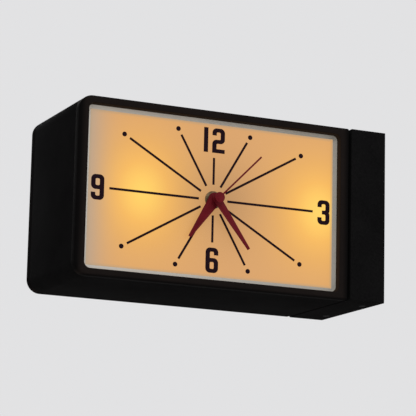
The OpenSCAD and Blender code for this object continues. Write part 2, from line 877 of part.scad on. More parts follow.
// White surround between the bezel's lip and the dial
module dial_surround() {
    color("#c9c6bd")
        difference() {
            slab(0, surround_t)
                rrect(seat_w, seat_h, seat_r);
            funnel(lit_w, lit_h, lit_r, 0, window_w, window_h, window_r, surround_t);
        }
}

// Opal dial panel with the hole for the movement's bush
module dial() {
    color("#f0c277")
        difference() {
            slab(-dial_t, 0)
                rrect(seat_w, seat_h, seat_r);
            translate([0, 0, -dial_t - cut])
                cylinder(r = bush_r + push_fit, h = dial_t + 2 * cut);
        }
}

// Frame behind the dial, pushed into the bezel's skirt
module dial_retainer() {
    color("#d8d6cf")
        slab(-dial_t - retainer_t, -dial_t)
            difference() {
                rrect(seat_w, seat_h, seat_r);
                rrect(seat_w - 2 * retainer_w, seat_h - 2 * retainer_w, window_r);
            }
}

// Round rectangle of one stroke: stem_w at the sides, bar_w above and below
module stroke_ring(w, h) {
    difference() {
        rrect(w, h, stem_w);
        rrect(w - 2 * stem_w, h - 2 * bar_w, counter_r);
    }
}

// Part of a numeral's outline above height y, or left or right of the middle
module above(y) {
    intersection() {
        children();
        translate([-numeral_w, y])
            square([2 * numeral_w, numeral_h]);
    }
}
module beside(s) {
    intersection() {
        children();
        translate([s < 0 ? -numeral_w : 0, -numeral_h])
            square([numeral_w, 2 * numeral_h]);
    }
}

// Numeral 6: a closed bowl, a full left stem and a hook over the top
module numeral_6() {
    translate([0, (bowl_h - numeral_h) / 2])
        stroke_ring(numeral_w, bowl_h);
    beside(-1)
        stroke_ring(numeral_w, numeral_h);
    above(hook_up)
        stroke_ring(numeral_w, numeral_h);
}

// Numeral 2: hook, right stem, middle bar, left stem and a flat foot
module numeral_2() {
    lower_h = numeral_h - upper_h + bar_w;
    lower_y = (lower_h - numeral_h) / 2;
    above(hook_up)
        stroke_ring(numeral_w, numeral_h);
    translate([0, (numeral_h - upper_h) / 2])
        beside(1)
            stroke_ring(numeral_w, upper_h);
    translate([0, lower_y])
        above(0)
            beside(-1)
                stroke_ring(numeral_w, lower_h);
    translate([-numeral_w / 2, -numeral_h / 2])
        square([stem_w, lower_h / 2 + skin]);
    translate([-numeral_w / 2, -numeral_h / 2])
        square([numeral_w, bar_w]);
}

// Numeral 3: two bowls open to the left, with a short middle bar
module numeral_3() {
    half_h = (numeral_h + bar_w) / 2;
    for (s = [0, 1])
        mirror([0, s]) {
            above(hook_up)
                stroke_ring(numeral_w, numeral_h);
            translate([0, (numeral_h - half_h) / 2])
                beside(1)
                    stroke_ring(numeral_w, half_h);
        }
    translate([-three_bar, -bar_w / 2])
        square([three_bar + numeral_w / 2 - stem_w / 2, bar_w]);
}

// Hour lines with their dots, and the numerals 12, 3, 6 and 9
module dial_markings() {
    ends = [line_end_12, line_end_1, line_end_2, line_end_3, line_end_2, line_end_1];
    twelve_w = numeral_w + 2 * stem_w;
    color("#17100c")
        slab(0, print_t) {
            for (h = [0:11])
                rotate(-30 * h) {
                    translate([-line_w / 2, line_start])
                        square([line_w, ends[h % 6] - line_start]);
                    if (h % 3 > 0)
                        translate([0, ends[h % 6] + dot_gap])
                            circle(dot_r);
                }
            translate([0, numeral_up]) {
                translate([-twelve_w / 2, -numeral_h / 2])
                    square([stem_w, numeral_h]);
                translate([twelve_w / 2 - numeral_w / 2, 0])
                    numeral_2();
            }
            translate([0, -numeral_up])
                numeral_6();
            translate([-numeral_out, 0])
                rotate(180)
                    numeral_6();
            translate([numeral_out, 0])
                numeral_3();
        }
}

// Brass washer on the dial
module dial_washer() {
    color("#9a8350")
        difference() {
            cylinder(r = washer_r, h = washer_t);
            translate([0, 0, -cut])
                cylinder(r = bush_r + push_fit, h = washer_t + 2 * cut);
        }
}

// Brass nut on the bush
module dial_nut() {
    color("#8a7445")
        difference() {
            translate([0, 0, washer_t])
                cylinder(r = nut_r, h = nut_t, $fn = 6);
            translate([0, 0, washer_t - cut])
                cylinder(r = bush_r + push_fit, h = nut_t + 2 * cut);
        }
}

// Movement case: gear room, battery bay and the threaded bush
module movement_case() {
    inside = movement_s - 2 * movement_wall;
    color("#26272a")
        difference() {
            union() {
                slab(back_z, front_z)
                    rrect(movement_s, movement_s, movement_r);
                translate([0, 0, floor_z])
                    cylinder(r = bush_r, h = bush_z - floor_z);
            }
            translate([-inside / 2, gear_room_y, back_z - cut])
                cube([inside, room_top - gear_room_y, floor_z - back_z + cut]);
            translate([-inside / 2, bay_y - bay_h / 2, back_z - cut])
                cube([inside, bay_h, floor_z - back_z + cut]);
            translate([0, 0, floor_z - cut])
                cylinder(r = hour_pipe_r + run_fit, h = bush_z - floor_z + 2 * cut);
            for (x = [motion_x, third_x])
                translate([x, 0, floor_z - cut])
                    cylinder(r = pivot_r + run_fit, h = cut + pivot_l + push_fit);
        }
}

// Lid over the gear room, with the rear pivots of the arbors
module movement_cover() {
    inside = movement_s - 2 * movement_wall - 2 * push_fit;
    room = room_top - gear_room_y - 2 * push_fit;
    color("#303236")
        difference() {
            translate([-inside / 2, gear_room_y + push_fit, back_z])
                cube([inside, room, movement_wall]);
            for (p = [[0, second_arbor_r], [motion_x, set_arbor_r], [third_x, side_arbor_r]])
                translate([p[0], 0, back_z - cut])
                    cylinder(r = p[1] + run_fit, h = movement_wall + 2 * cut);
        }
}

// Battery lying in its bay, with the raised pole
module battery() {
    color("#3f6f4a")
        translate([0, bay_y, floor_z - battery_r - pass_gap]) {
            rod_x(-battery_l / 2, battery_l / 2, battery_r);
            rod_x(battery_l / 2, battery_l / 2 + pole_l, pole_r);
        }
}

// Spring plates at both ends of the battery
module battery_contacts() {
    bay_end = movement_s / 2 - movement_wall;
    plate = battery_r;
    color("#c8c9cc")
        translate([0, bay_y, floor_z - battery_r - pass_gap]) {
            translate([bay_end - contact_t, -plate / 2, -plate])
                cube([contact_t, plate, 2 * plate]);
            translate([-bay_end, -plate / 2, -plate])
                cube([contact_t, plate, 2 * plate]);
            rod_x(-bay_end + contact_t, -battery_l / 2, spring_r);
        }
}

// Coil of the stepping motor: winding between two cheeks that stand on the case
module coil() {
    coil_y = room_top - wind_r - coil_gap;
    color("#b5652a")
        translate([0, coil_y, floor_z - cheek_h / 2]) {
            rod_x(-coil_l / 2, coil_l / 2, wind_r);
            for (x = [-1, 1])
                translate([x * (coil_l - cheek_t) / 2, 0, 0])
                    cube([cheek_t, 2 * (wind_r + cheek_over), cheek_h], center = true);
        }
}

// Hand blade from its hub to a blunt tip, pointing at a clock angle
module blade(angle, length, hub_r, root_w, bore) {
    rotate(-angle)
        difference() {
            union() {
                circle(hub_r);
                polygon([[-root_w / 2, 0], [root_w / 2, 0], [tip_w / 2, length], [-tip_w / 2, length]]);
            }
            circle(bore);
        }
}

// Hour hand with its collet
module hour_hand() {
    color("#7d1f35")
        difference() {
            union() {
                slab(hour_z, hour_z + hand_t)
                    blade(hour_angle, hour_len, hour_hub_r, hour_root_w, hour_pipe_r);
                translate([0, 0, hour_z])
                    cylinder(r = hour_pipe_r + collet_t, h = hand_t + collet_h);
            }
            translate([0, 0, hour_z - cut])
                cylinder(r = hour_pipe_r + run_fit / 2, h = hand_t + collet_h + 2 * cut);
        }
}

// Hour wheel on its pipe
module hour_wheel() {
    pipe_top = hour_z + hand_t + collet_h;
    color("#d8d2c0")
        difference() {
            union() {
                gear(hour_teeth, motion_m, hour_gear_z, hour_gear_z + gear_t);
                translate([0, 0, hour_gear_z])
                    cylinder(r = hour_pipe_r, h = pipe_top - hour_gear_z);
            }
            translate([0, 0, hour_gear_z - cut])
                cylinder(r = minute_pipe_r + run_fit, h = pipe_top - hour_gear_z + 2 * cut);
        }
}

// Minute hand with its collet
module minute_hand() {
    color("#861f38")
        difference() {
            union() {
                slab(minute_z, minute_z + hand_t)
                    blade(minute_angle, minute_len, minute_hub_r, minute_root_w, minute_pipe_r);
                translate([0, 0, minute_z])
                    cylinder(r = minute_pipe_r + collet_t, h = hand_t + collet_h);
            }
            translate([0, 0, minute_z - cut])
                cylinder(r = minute_pipe_r + run_fit / 2, h = hand_t + collet_h + 2 * cut);
        }
}

// Minute pipe with the cannon pinion and the centre wheel
module minute_pipe() {
    pipe_top = minute_z + hand_t + collet_h;
    color("#b59a5a")
        difference() {
            union() {
                gear(centre_teeth, centre_m, centre_z, centre_z + gear_t);
                gear(cannon_teeth, motion_m, cannon_z, cannon_z + gear_t);
                translate([0, 0, centre_z])
                    cylinder(r = minute_pipe_r, h = pipe_top - centre_z);
            }
            translate([0, 0, centre_z - cut])
                cylinder(r = second_arbor_r + run_fit, h = pipe_top - centre_z + 2 * cut);
        }
}

// Second hand: needle, cap and the tube that grips the arbor
module second_hand() {
    grip_z = second_z - cap_tube_l;
    color("#8a2038")
        difference() {
            union() {
                slab(second_z, second_z + hand_t) {
                    circle(second_hub_r);
                    rotate(-second_angle)
                        translate([-needle_w / 2, 0])
                            square([needle_w, second_len]);
                }
                translate([0, 0, grip_z])
                    cylinder(r = cap_tube_r, h = cap_tube_l);
            }
            translate([0, 0, grip_z - cut])
                cylinder(r = second_arbor_r + run_fit / 2, h = cut + cap_tube_l);
        }
}

// Second arbor with its pinion and the wheel that the motor steps
module second_arbor() {
    color("#c9c4b4") {
        translate([0, 0, back_z])
            cylinder(r = second_arbor_r, h = second_z - back_z);
        gear(second_pinion_teeth, second_m, third_z, third_z + gear_t);
        gear(step_teeth, step_m, step_z, step_z + gear_t / 2);
    }
}

// Motion wheel: driven by the cannon pinion, drives the hour wheel, turned by the knob
module motion_wheel() {
    knob_z = back_z - pass_gap - knob_l;
    shoulder_z = back_z + movement_wall + pass_gap;
    color("#e0dccd")
        translate([motion_x, 0, 0]) {
            gear(motion_teeth, motion_m, cannon_z, cannon_z + gear_t, gap_first = true);
            gear(motion_pinion_teeth, motion_m, cannon_z + gear_t, floor_z - pass_gap, gap_first = true);
            translate([0, 0, floor_z - pass_gap])
                cylinder(r = pivot_r, h = pass_gap + pivot_l);
            translate([0, 0, shoulder_z])
                cylinder(r = side_arbor_r, h = cannon_z - shoulder_z);
            translate([0, 0, knob_z])
                cylinder(r = set_arbor_r, h = shoulder_z - knob_z);
        }
}

// Setting knob on the end of the motion arbor, grooved for the fingers
module set_knob() {
    grooves = 16;
    color("#ece9e0")
        translate([motion_x, 0, back_z - pass_gap - knob_l])
            difference() {
                cylinder(r = knob_r, h = knob_l);
                translate([0, 0, -cut])
                    cylinder(r = set_arbor_r + run_fit / 2, h = knob_l + 2 * cut);
                for (i = [0:grooves - 1])
                    rotate(i * 360 / grooves)
                        translate([knob_r + groove_out, 0, -cut])
                            cylinder(r = groove_r, h = knob_l + 2 * cut);
            }
}

// Third wheel between the second pinion and the centre wheel
module third_wheel() {
    color("#dcd6c4")
        translate([third_x, 0, 0]) {
            gear(third_teeth, second_m, third_z, third_z + gear_t, gap_first = true);
            gear(third_pinion_teeth, centre_m, centre_z, centre_z + gear_t, gap_first = true);
            translate([0, 0, back_z])
                cylinder(r = side_arbor_r, h = centre_z - back_z);
            translate([0, 0, centre_z + gear_t])
                cylinder(r = pivot_r, h = floor_z + pivot_l - centre_z - gear_t);
        }
}

case_shell();
wall_plate();
wall_block();
block_screws();
stem();
stem_spacer();
stem_washer();
stem_nut();
cable_grommet();
cable_sleeve();
terminal_block();
lamp_rail();
lamp_holder(lamp_left);  // lamp_holder_left
lamp_holder(lamp_right);  // lamp_holder_right
lamp(lamp_left);  // lamp_left_bulb
lamp(lamp_right);  // lamp_right_bulb
lead(lead_route_left);  // lamp_lead_left
lead(lead_route_right);  // lamp_lead_right
for (side = SIDES) {
    stand(side) to_wall(side) bezel();
    stand(side) dial_surround();
    stand(side) dial();
    stand(side) dial_markings();
    stand(side) dial_retainer();
    stand(side) dial_washer();
    stand(side) dial_nut();
    stand(side) movement_case();
    stand(side) movement_cover();
    stand(side) battery();
    stand(side) battery_contacts();
    stand(side) coil();
    stand(side) hour_hand();
    stand(side) hour_wheel();
    stand(side) minute_hand();
    stand(side) minute_pipe();
    stand(side) second_hand();
    stand(side) second_arbor();
    stand(side) motion_wheel();
    stand(side) set_knob();
    stand(side) third_wheel();
}
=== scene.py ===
import json
import math

import bmesh
import bpy
from mathutils import Matrix, Vector

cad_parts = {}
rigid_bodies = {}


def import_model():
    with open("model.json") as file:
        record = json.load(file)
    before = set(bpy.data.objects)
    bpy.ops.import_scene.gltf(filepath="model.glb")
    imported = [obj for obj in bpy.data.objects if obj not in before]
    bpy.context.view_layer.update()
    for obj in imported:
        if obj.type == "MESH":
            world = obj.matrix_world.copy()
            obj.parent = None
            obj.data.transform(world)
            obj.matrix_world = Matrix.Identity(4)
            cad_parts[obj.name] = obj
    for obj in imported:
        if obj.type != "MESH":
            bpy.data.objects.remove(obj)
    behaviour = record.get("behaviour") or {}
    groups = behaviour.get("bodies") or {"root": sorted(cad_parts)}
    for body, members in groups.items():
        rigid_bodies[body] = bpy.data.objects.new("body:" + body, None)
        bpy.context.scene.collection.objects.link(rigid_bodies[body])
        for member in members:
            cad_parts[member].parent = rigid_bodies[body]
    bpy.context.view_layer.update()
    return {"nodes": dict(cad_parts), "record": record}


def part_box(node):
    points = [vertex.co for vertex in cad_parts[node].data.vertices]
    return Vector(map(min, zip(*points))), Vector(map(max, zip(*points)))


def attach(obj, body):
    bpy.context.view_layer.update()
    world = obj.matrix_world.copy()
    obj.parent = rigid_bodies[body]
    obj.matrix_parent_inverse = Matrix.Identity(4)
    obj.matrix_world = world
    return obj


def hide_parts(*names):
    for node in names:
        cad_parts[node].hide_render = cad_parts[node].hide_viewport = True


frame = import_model()
nodes = frame["nodes"]
bpy.ops.object.select_all(action="DESELECT")
print("frame loaded:", len(nodes), "nodes")

mm = 0.001
shellLow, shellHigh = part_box("case_shell")
blockLow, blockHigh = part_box("wall_block")
middleX = (shellLow.x + shellHigh.x) / 2
caseWidth = shellHigh.x - shellLow.x
caseHeight = shellHigh.z - shellLow.z
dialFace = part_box("front_dial")[0].y  # front surface of the front dial


# Camera

shot = {
    "place": (-1.1986, -2.2403, -0.4927),
    "lookAt": (-0.2190, -0.0670, -0.0097),
    "roll": math.radians(-1.29),
    "lens": 188.6,
    "sensor": 36.0,
}
bpy.ops.object.camera_add(location=shot["place"])
camera = bpy.context.object
camera.name = "photoCamera"
camera.data.lens = shot["lens"]
camera.data.sensor_width = shot["sensor"]
aim = (Vector(shot["lookAt"]) - Vector(shot["place"])).to_track_quat("-Z", "Y").to_matrix()
camera.rotation_euler = (aim @ Matrix.Rotation(-shot["roll"], 3, "Z")).to_euler()
bpy.context.scene.camera = camera
print("camera set")


# Stage and light

studio = {
    "floorDrop": 0.85,
    "floorSize": 12.0,
    "floorTone": (0.74, 0.73, 0.71),
    "floorDim": 0.98,
    "floorCloud": 0.5,
    "floorRough": 0.9,
    "floorShine": 0.1,
    "backTone": (0.76, 0.76, 0.77, 1.0),
    "ambient": 0.55,
    "keyLight": ((-1.0, -2.4, 1.5), 1.8, 26.0),  # place, size and power
    "fillLight": ((1.5, -2.0, 0.6), 2.2, 14.0),
    "backLight": ((-0.6, 2.6, 1.4), 2.0, 34.0),
}


def softLamp(name, place, size, power):
    bpy.ops.object.light_add(type="AREA", location=place)
    lamp = bpy.context.object
    lamp.name = name
    lamp.data.shape = "DISK"
    lamp.data.size = size
    lamp.data.energy = power
    towards = Vector((middleX, 0, 0)) - Vector(place)
    lamp.rotation_euler = towards.to_track_quat("-Z", "Y").to_euler()


def addNode(tree, kind, sockets=(), **settings):
    node = tree.nodes.new(kind)
    for key, value in settings.items():
        setattr(node, key, value)
    for key, value in dict(sockets).items():
        node.inputs[key].default_value = value
    return node


def setWorld():
    world = bpy.data.worlds.new("paleStudio")
    world.use_nodes = True
    bpy.context.scene.world = world
    tree = world.node_tree
    tree.nodes.clear()
    link = tree.links.new
    path = addNode(tree, "ShaderNodeLightPath")
    seen = addNode(tree, "ShaderNodeMath", operation="MAXIMUM")
    seenToo = addNode(tree, "ShaderNodeMath", operation="MAXIMUM")
    link(path.outputs["Is Camera Ray"], seen.inputs[0])
    link(path.outputs["Is Glossy Ray"], seen.inputs[1])
    link(seen.outputs[0], seenToo.inputs[0])
    link(path.outputs["Is Transmission Ray"], seenToo.inputs[1])
    light = addNode(tree, "ShaderNodeBackground", {"Color": (1, 1, 1, 1), "Strength": studio["ambient"]})
    back = addNode(tree, "ShaderNodeBackground", {"Color": studio["backTone"], "Strength": 1.0})
    choose = addNode(tree, "ShaderNodeMixShader")
    output = addNode(tree, "ShaderNodeOutputWorld")
    link(seenToo.outputs[0], choose.inputs[0])
    link(light.outputs[0], choose.inputs[1])
    link(back.outputs[0], choose.inputs[2])
    link(choose.outputs[0], output.inputs["Surface"])


bpy.context.scene.view_settings.view_transform = "Standard"
setWorld()
for lightName in ("keyLight", "fillLight", "backLight"):
    softLamp(lightName, *studio[lightName])
print("studio lit")


# Finishes

def newFinish(name):
    finish = bpy.data.materials.new(name)
    finish.use_nodes = True
    return finish, finish.node_tree, finish.node_tree.nodes["Principled BSDF"]


def pieceSpace(tree, stretch=(1, 1, 1), centre=(0, 0, 0)):
    where = addNode(tree, "ShaderNodeTexCoord")
    mapping = addNode(tree, "ShaderNodeMapping", {"Scale": stretch})
    mapping.inputs["Location"].default_value = [-c * s for c, s in zip(centre, stretch)]
    tree.links.new(where.outputs["Object"], mapping.inputs["Vector"])
    return mapping.outputs["Vector"]


def speckle(tree, size, detail=3.0, stretch=(1, 1, 1)):
    noise = addNode(tree, "ShaderNodeTexNoise", {"Scale": 1 / size, "Detail": detail, "Roughness": 0.6})
    tree.links.new(pieceSpace(tree, stretch), noise.inputs["Vector"])
    return noise.outputs["Fac"]


def toneRamp(tree, factor, *stops):
    ramp = addNode(tree, "ShaderNodeValToRGB")
    while len(ramp.color_ramp.elements) < len(stops):
        ramp.color_ramp.elements.new(0.5)
    for element, (place, tone) in zip(ramp.color_ramp.elements, stops):
        element.position = place
        element.color = (*tone, 1.0)
    tree.links.new(factor, ramp.inputs["Fac"])
    return ramp.outputs["Color"]


noiseLow, noiseHigh = 0.3, 0.7  # nearly all of the noise lies between these


def noiseTone(tree, noise, dark, light):
    return toneRamp(tree, noise, (noiseLow, dark), (noiseHigh, light))


def levels(tree, factor, low, high, fromLow=noiseLow, fromHigh=noiseHigh):
    spread = addNode(tree, "ShaderNodeMapRange", {"From Min": fromLow, "From Max": fromHigh})
    spread.inputs["To Min"].default_value = low
    spread.inputs["To Max"].default_value = high
    tree.links.new(factor, spread.inputs["Value"])
    return spread.outputs["Result"]


def relief(tree, shader, height, depth, strength=1.0):
    bump = addNode(tree, "ShaderNodeBump", {"Strength": strength, "Distance": depth})
    tree.links.new(height, bump.inputs["Height"])
    tree.links.new(bump.outputs["Normal"], shader.inputs["Normal"])


# A plain surface with cloudy tone, uneven gloss and a fine grain
def grainedFinish(name, look):
    finish, tree, shader = newFinish(name)
    cloud = speckle(tree, look["cloud"], 4.0)
    grain = speckle(tree, look["grain"], 3.0, look.get("stretch", (1, 1, 1)))
    patches = addNode(tree, "ShaderNodeMix", {"Factor": look.get("mottle", 0.0)})
    tree.links.new(cloud, patches.inputs[2])
    tree.links.new(grain, patches.inputs[3])
    tone = noiseTone(tree, patches.outputs[0], look["dark"], look["light"])
    tree.links.new(tone, shader.inputs["Base Color"])
    gloss = levels(tree, grain, *look["rough"])
    tree.links.new(gloss, shader.inputs["Roughness"])
    relief(tree, shader, grain, look["depth"])
    shader.inputs["Metallic"].default_value = look.get("metal", 0.0)
    shader.inputs["Specular IOR Level"].default_value = look.get("shine", 0.5)
    return finish


finishes = {
    "case_black": grainedFinish("texturedBlackPaint", {
        "dark": (0.0028, 0.0027, 0.0029), "light": (0.0092, 0.0089, 0.0092), "cloud": 0.06,
        "grain": 1.1 * mm, "rough": (0.56, 0.72), "depth": 0.10 * mm, "shine": 0.0004, "mottle": 0.65,
    }),
    "bezel_black": grainedFinish("satinBlackMoulding", {
        "dark": (0.0088, 0.0069, 0.0064), "light": (0.0134, 0.0104, 0.0096), "cloud": 0.05,
        "grain": 0.6 * mm, "rough": (0.46, 0.58), "depth": 0.03 * mm, "shine": 0.0008, "mottle": 0.4,
    }),
    "surround_white": grainedFinish("mattWhiteMoulding", {
        "dark": (0.30, 0.288, 0.255), "light": (0.34, 0.328, 0.295), "cloud": 0.03,
        "grain": 0.5 * mm, "rough": (0.55, 0.70), "depth": 0.02 * mm,
    }),
    "print_black": grainedFinish("printedInk", {
        "dark": (0.0125, 0.0052, 0.0085), "light": (0.0165, 0.0072, 0.0110), "cloud": 0.01,
        "grain": 0.25 * mm, "rough": (0.50, 0.65), "depth": 0.01 * mm, "shine": 0.012,
    }),
    "hand_red": grainedFinish("crimsonPaint", {
        "dark": (0.100, 0.0048, 0.0092), "light": (0.132, 0.0070, 0.0124), "cloud": 0.012,
        "grain": 0.5 * mm, "rough": (0.34, 0.46), "depth": 0.012 * mm, "shine": 0.05,
    }),
    "movement_black": grainedFinish("mouldedDarkPlastic", {
        "dark": (0.020, 0.020, 0.022), "light": (0.030, 0.030, 0.033), "cloud": 0.02,
        "grain": 0.4 * mm, "rough": (0.42, 0.58), "depth": 0.03 * mm, "shine": 0.4,
    }),
    "contact_steel": grainedFinish("springSteel", {
        "dark": (0.48, 0.48, 0.50), "light": (0.62, 0.62, 0.64), "cloud": 0.008, "metal": 1.0,
        "grain": 0.3 * mm, "stretch": (0.1, 1, 1), "rough": (0.24, 0.38), "depth": 0.008 * mm,
    }),
    "gear_plastic": grainedFinish("naturalGearPlastic", {
        "dark": (0.70, 0.66, 0.56), "light": (0.80, 0.77, 0.68), "cloud": 0.01,
        "grain": 0.4 * mm, "rough": (0.38, 0.50), "depth": 0.015 * mm,
    }),
    "screw_black": grainedFinish("blackenedSteel", {
        "dark": (0.0060, 0.0060, 0.0064), "light": (0.0095, 0.0094, 0.0097), "cloud": 0.004,
        "grain": 0.3 * mm, "rough": (0.40, 0.55), "depth": 0.01 * mm, "shine": 0.008,
    }),
    "rubber_black": grainedFinish("blackRubber", {
        "dark": (0.012, 0.012, 0.012), "light": (0.020, 0.020, 0.020), "cloud": 0.01,
        "grain": 0.5 * mm, "rough": (0.70, 0.85), "depth": 0.04 * mm, "shine": 0.3,
    }),
    "holder_white": grainedFinish("whiteLampPlastic", {
        "dark": (0.70, 0.68, 0.61), "light": (0.80, 0.78, 0.72), "cloud": 0.015,
        "grain": 0.5 * mm, "rough": (0.30, 0.42), "depth": 0.012 * mm,
    }),
    "rail_white": grainedFinish("whitePaintedSheet", {
        "dark": (0.66, 0.66, 0.63), "light": (0.76, 0.76, 0.73), "cloud": 0.03,
        "grain": 0.8 * mm, "rough": (0.40, 0.55), "depth": 0.03 * mm,
    }),
    "lead_white": grainedFinish("whiteSheath", {
        "dark": (0.66, 0.64, 0.57), "light": (0.76, 0.74, 0.68), "cloud": 0.01,
        "grain": 0.5 * mm, "rough": (0.48, 0.60), "depth": 0.015 * mm,
    }),
}


# Opal panel lit from behind, its glow painted as emission: two painted bright spots, a painted shade beside the
# movement, a dimmer and greyer painted glow at the free end, and painted shade along the rim
dialGlow = {
    "spots": (-0.298, -0.080),  # X of the two bright spots
    "spotReach": 47 * mm,
    "spotFlatten": 0.9,  # below 1 the spots are taller than wide
    "falloff": 1.6,
    "far": (0.615, 0.314, 0.122),
    "near": (0.720, 0.364, 0.094),
    "nearAt": 0.30,
    "close": (0.840, 0.434, 0.086),
    "closeAt": 0.60,
    "peak": (0.960, 0.605, 0.105),
    # painted shade where the movement stands behind the panel
    "shade": (0.390, 0.210, 0.090),
    "shadeAside": 13 * mm,
    "shadeReach": 46 * mm,
    "shadeMost": 0.85,
    # painted dimmer, greyer glow at the free end
    "end": (0.370, 0.300, 0.240),
    "endIn": 16 * mm,
    "endReach": 20 * mm,
    "endMost": 0.8,
    # painted shade along the rim of the lit window
    "rim": (0.360, 0.280, 0.190),
    "rimFade": 3.4 * mm,
    "rimMost": 0.6,
    "litWidth": 300 * mm,
    "litHeight": 174 * mm,
    "panel": (0.10, 0.062, 0.026),
    "panelDim": 0.92,
    "cloud": 20 * mm,
    "rough": (0.40, 0.48),
    "shine": 0.2,
}


# Falls from 1 at half height towards 0 all round, or to both sides only when flattened to 0
def spotGlow(tree, x, reach, falloff, flatten=1.0):
    space = pieceSpace(tree, (1 / reach, 0, flatten / reach), (x, 0, 0))
    length = addNode(tree, "ShaderNodeVectorMath", operation="LENGTH")
    tree.links.new(space, length.inputs[0])
    power = addNode(tree, "ShaderNodeMath", {1: falloff}, operation="POWER")
    tree.links.new(length.outputs["Value"], power.inputs[0])
    fall = addNode(tree, "ShaderNodeMath", {1: -1.0}, operation="MULTIPLY")
    tree.links.new(power.outputs[0], fall.inputs[0])
    bell = addNode(tree, "ShaderNodeMath", operation="EXPONENT")
    tree.links.new(fall.outputs[0], bell.inputs[0])
    return bell.outputs[0]


# Rises from 0 to 1 over the last stretch before the edge of a rectangle round the dial's middle,
# which may have round corners
def edgeFade(tree, width, height, reach, corner=0.0):
    space = pieceSpace(tree, (1, 0, 1), (middleX, 0, 0))
    outwards = addNode(tree, "ShaderNodeVectorMath", operation="ABSOLUTE")
    tree.links.new(space, outwards.inputs[0])
    past = addNode(tree, "ShaderNodeVectorMath", operation="SUBTRACT")
    tree.links.new(outwards.outputs[0], past.inputs[0])
    past.inputs[1].default_value = (width / 2 - corner, 0, height / 2 - corner)
    if corner:
        beyond = addNode(tree, "ShaderNodeVectorMath", operation="MAXIMUM")
        tree.links.new(past.outputs[0], beyond.inputs[0])
        length = addNode(tree, "ShaderNodeVectorMath", operation="LENGTH")
        tree.links.new(beyond.outputs[0], length.inputs[0])
        return levels(tree, length.outputs["Value"], 0.0, 1.0, corner - reach, corner)
    parts = addNode(tree, "ShaderNodeSeparateXYZ")
    tree.links.new(past.outputs[0], parts.inputs[0])
    nearest = addNode(tree, "ShaderNodeMath", operation="MAXIMUM")
    tree.links.new(parts.outputs["X"], nearest.inputs[0])
    tree.links.new(parts.outputs["Z"], nearest.inputs[1])
    return levels(tree, nearest.outputs[0], 0.0, 1.0, -reach, 0.0)


def blendTone(tree, factor, first, second):
    mix = addNode(tree, "ShaderNodeMix", data_type="RGBA")
    tree.links.new(factor, mix.inputs["Factor"])
    tree.links.new(first, mix.inputs[6])
    mix.inputs[7].default_value = (*second, 1.0)
    return mix.outputs[2]


def litDialFinish(look):
    finish, tree, shader = newFinish("litOpalPanel")
    both = addNode(tree, "ShaderNodeMath", operation="MAXIMUM")
    for i, x in enumerate(look["spots"]):
        spot = spotGlow(tree, x, look["spotReach"], look["falloff"], look["spotFlatten"])
        tree.links.new(spot, both.inputs[i])
    tone = toneRamp(tree, both.outputs[0], (0.0, look["far"]), (look["nearAt"], look["near"]),
                    (look["closeAt"], look["close"]), (1.0, look["peak"]))
    # painted shade beside the movement, dimmer free end and rim shade, laid over the painted glow
    over = {
        "shade": spotGlow(tree, middleX + look["shadeAside"], look["shadeReach"], look["falloff"]),
        "end": spotGlow(tree, shellLow.x + look["endIn"], look["endReach"], look["falloff"], 0.0),
        "rim": edgeFade(tree, look["litWidth"], look["litHeight"], look["rimFade"]),
    }
    for part, factor in over.items():
        tone = blendTone(tree, levels(tree, factor, 0.0, look[part + "Most"], 0.0, 1.0), tone, look[part])
    # the painted glow goes in as emission
    tree.links.new(tone, shader.inputs["Emission Color"])
    shader.inputs["Emission Strength"].default_value = 1.0
    milk = speckle(tree, look["cloud"])
    panel = Vector(look["panel"])
    tree.links.new(noiseTone(tree, milk, panel * look["panelDim"], panel), shader.inputs["Base Color"])
    tree.links.new(levels(tree, milk, *look["rough"]), shader.inputs["Roughness"])
    shader.inputs["Specular IOR Level"].default_value = look["shine"]
    return finish


finishes["dial_opal"] = litDialFinish(dialGlow)


# Lays another tone over a finish's own colour
def overTone(finish, factor, tone):
    base = finish.node_tree.nodes["Principled BSDF"].inputs["Base Color"]
    finish.node_tree.links.new(blendTone(finish.node_tree, factor, base.links[0].from_socket, tone), base)


# Bezel: painted glow from the lit dial makes the walls of its window warmer and paler than its front, and painted
# shade makes its outer edges darker
bezelPaintedLight = {
    "window": (311.2 * mm, 184.6 * mm, 0.8 * mm, 7.3 * mm),  # width, height, blend and corner
    # painted glow from the dial on the window walls
    "walls": (0.030, 0.022, 0.0165),
    "ends": (caseWidth - 5 * mm, 1.0, 5.5 * mm),  # so high that only the two ends count
    "rounds": (caseWidth, caseHeight, 2.5 * mm),
    # painted shade on the outer edges and their round-overs
    "edges": (0.0044, 0.0040, 0.0041),
}


def paintBezelGlowAndShade(finish, look):
    tree = finish.node_tree
    # mask of the window walls, which get the painted glow
    inside = levels(tree, edgeFade(tree, *look["window"]), 1.0, 0.0, 0.0, 1.0)
    overTone(finish, inside, look["walls"])
    # painted shade over both ends and the rounded outer edges
    for place in ("ends", "rounds"):
        overTone(finish, edgeFade(tree, *look[place]), look["edges"])


# Surround: painted light makes it paler towards the free end
def paintSurroundLight(finish, paintedLitEnd):
    tree = finish.node_tree
    along = addNode(tree, "ShaderNodeSeparateXYZ")
    tree.links.new(pieceSpace(tree), along.inputs[0])
    overTone(finish, levels(tree, along.outputs["X"], 1.0, 0.0, shellLow.x, shellHigh.x), paintedLitEnd)


paintBezelGlowAndShade(finishes["bezel_black"], bezelPaintedLight)
# pale tone of the painted light at the free end
paintSurroundLight(finishes["surround_white"], (0.56, 0.53, 0.48))


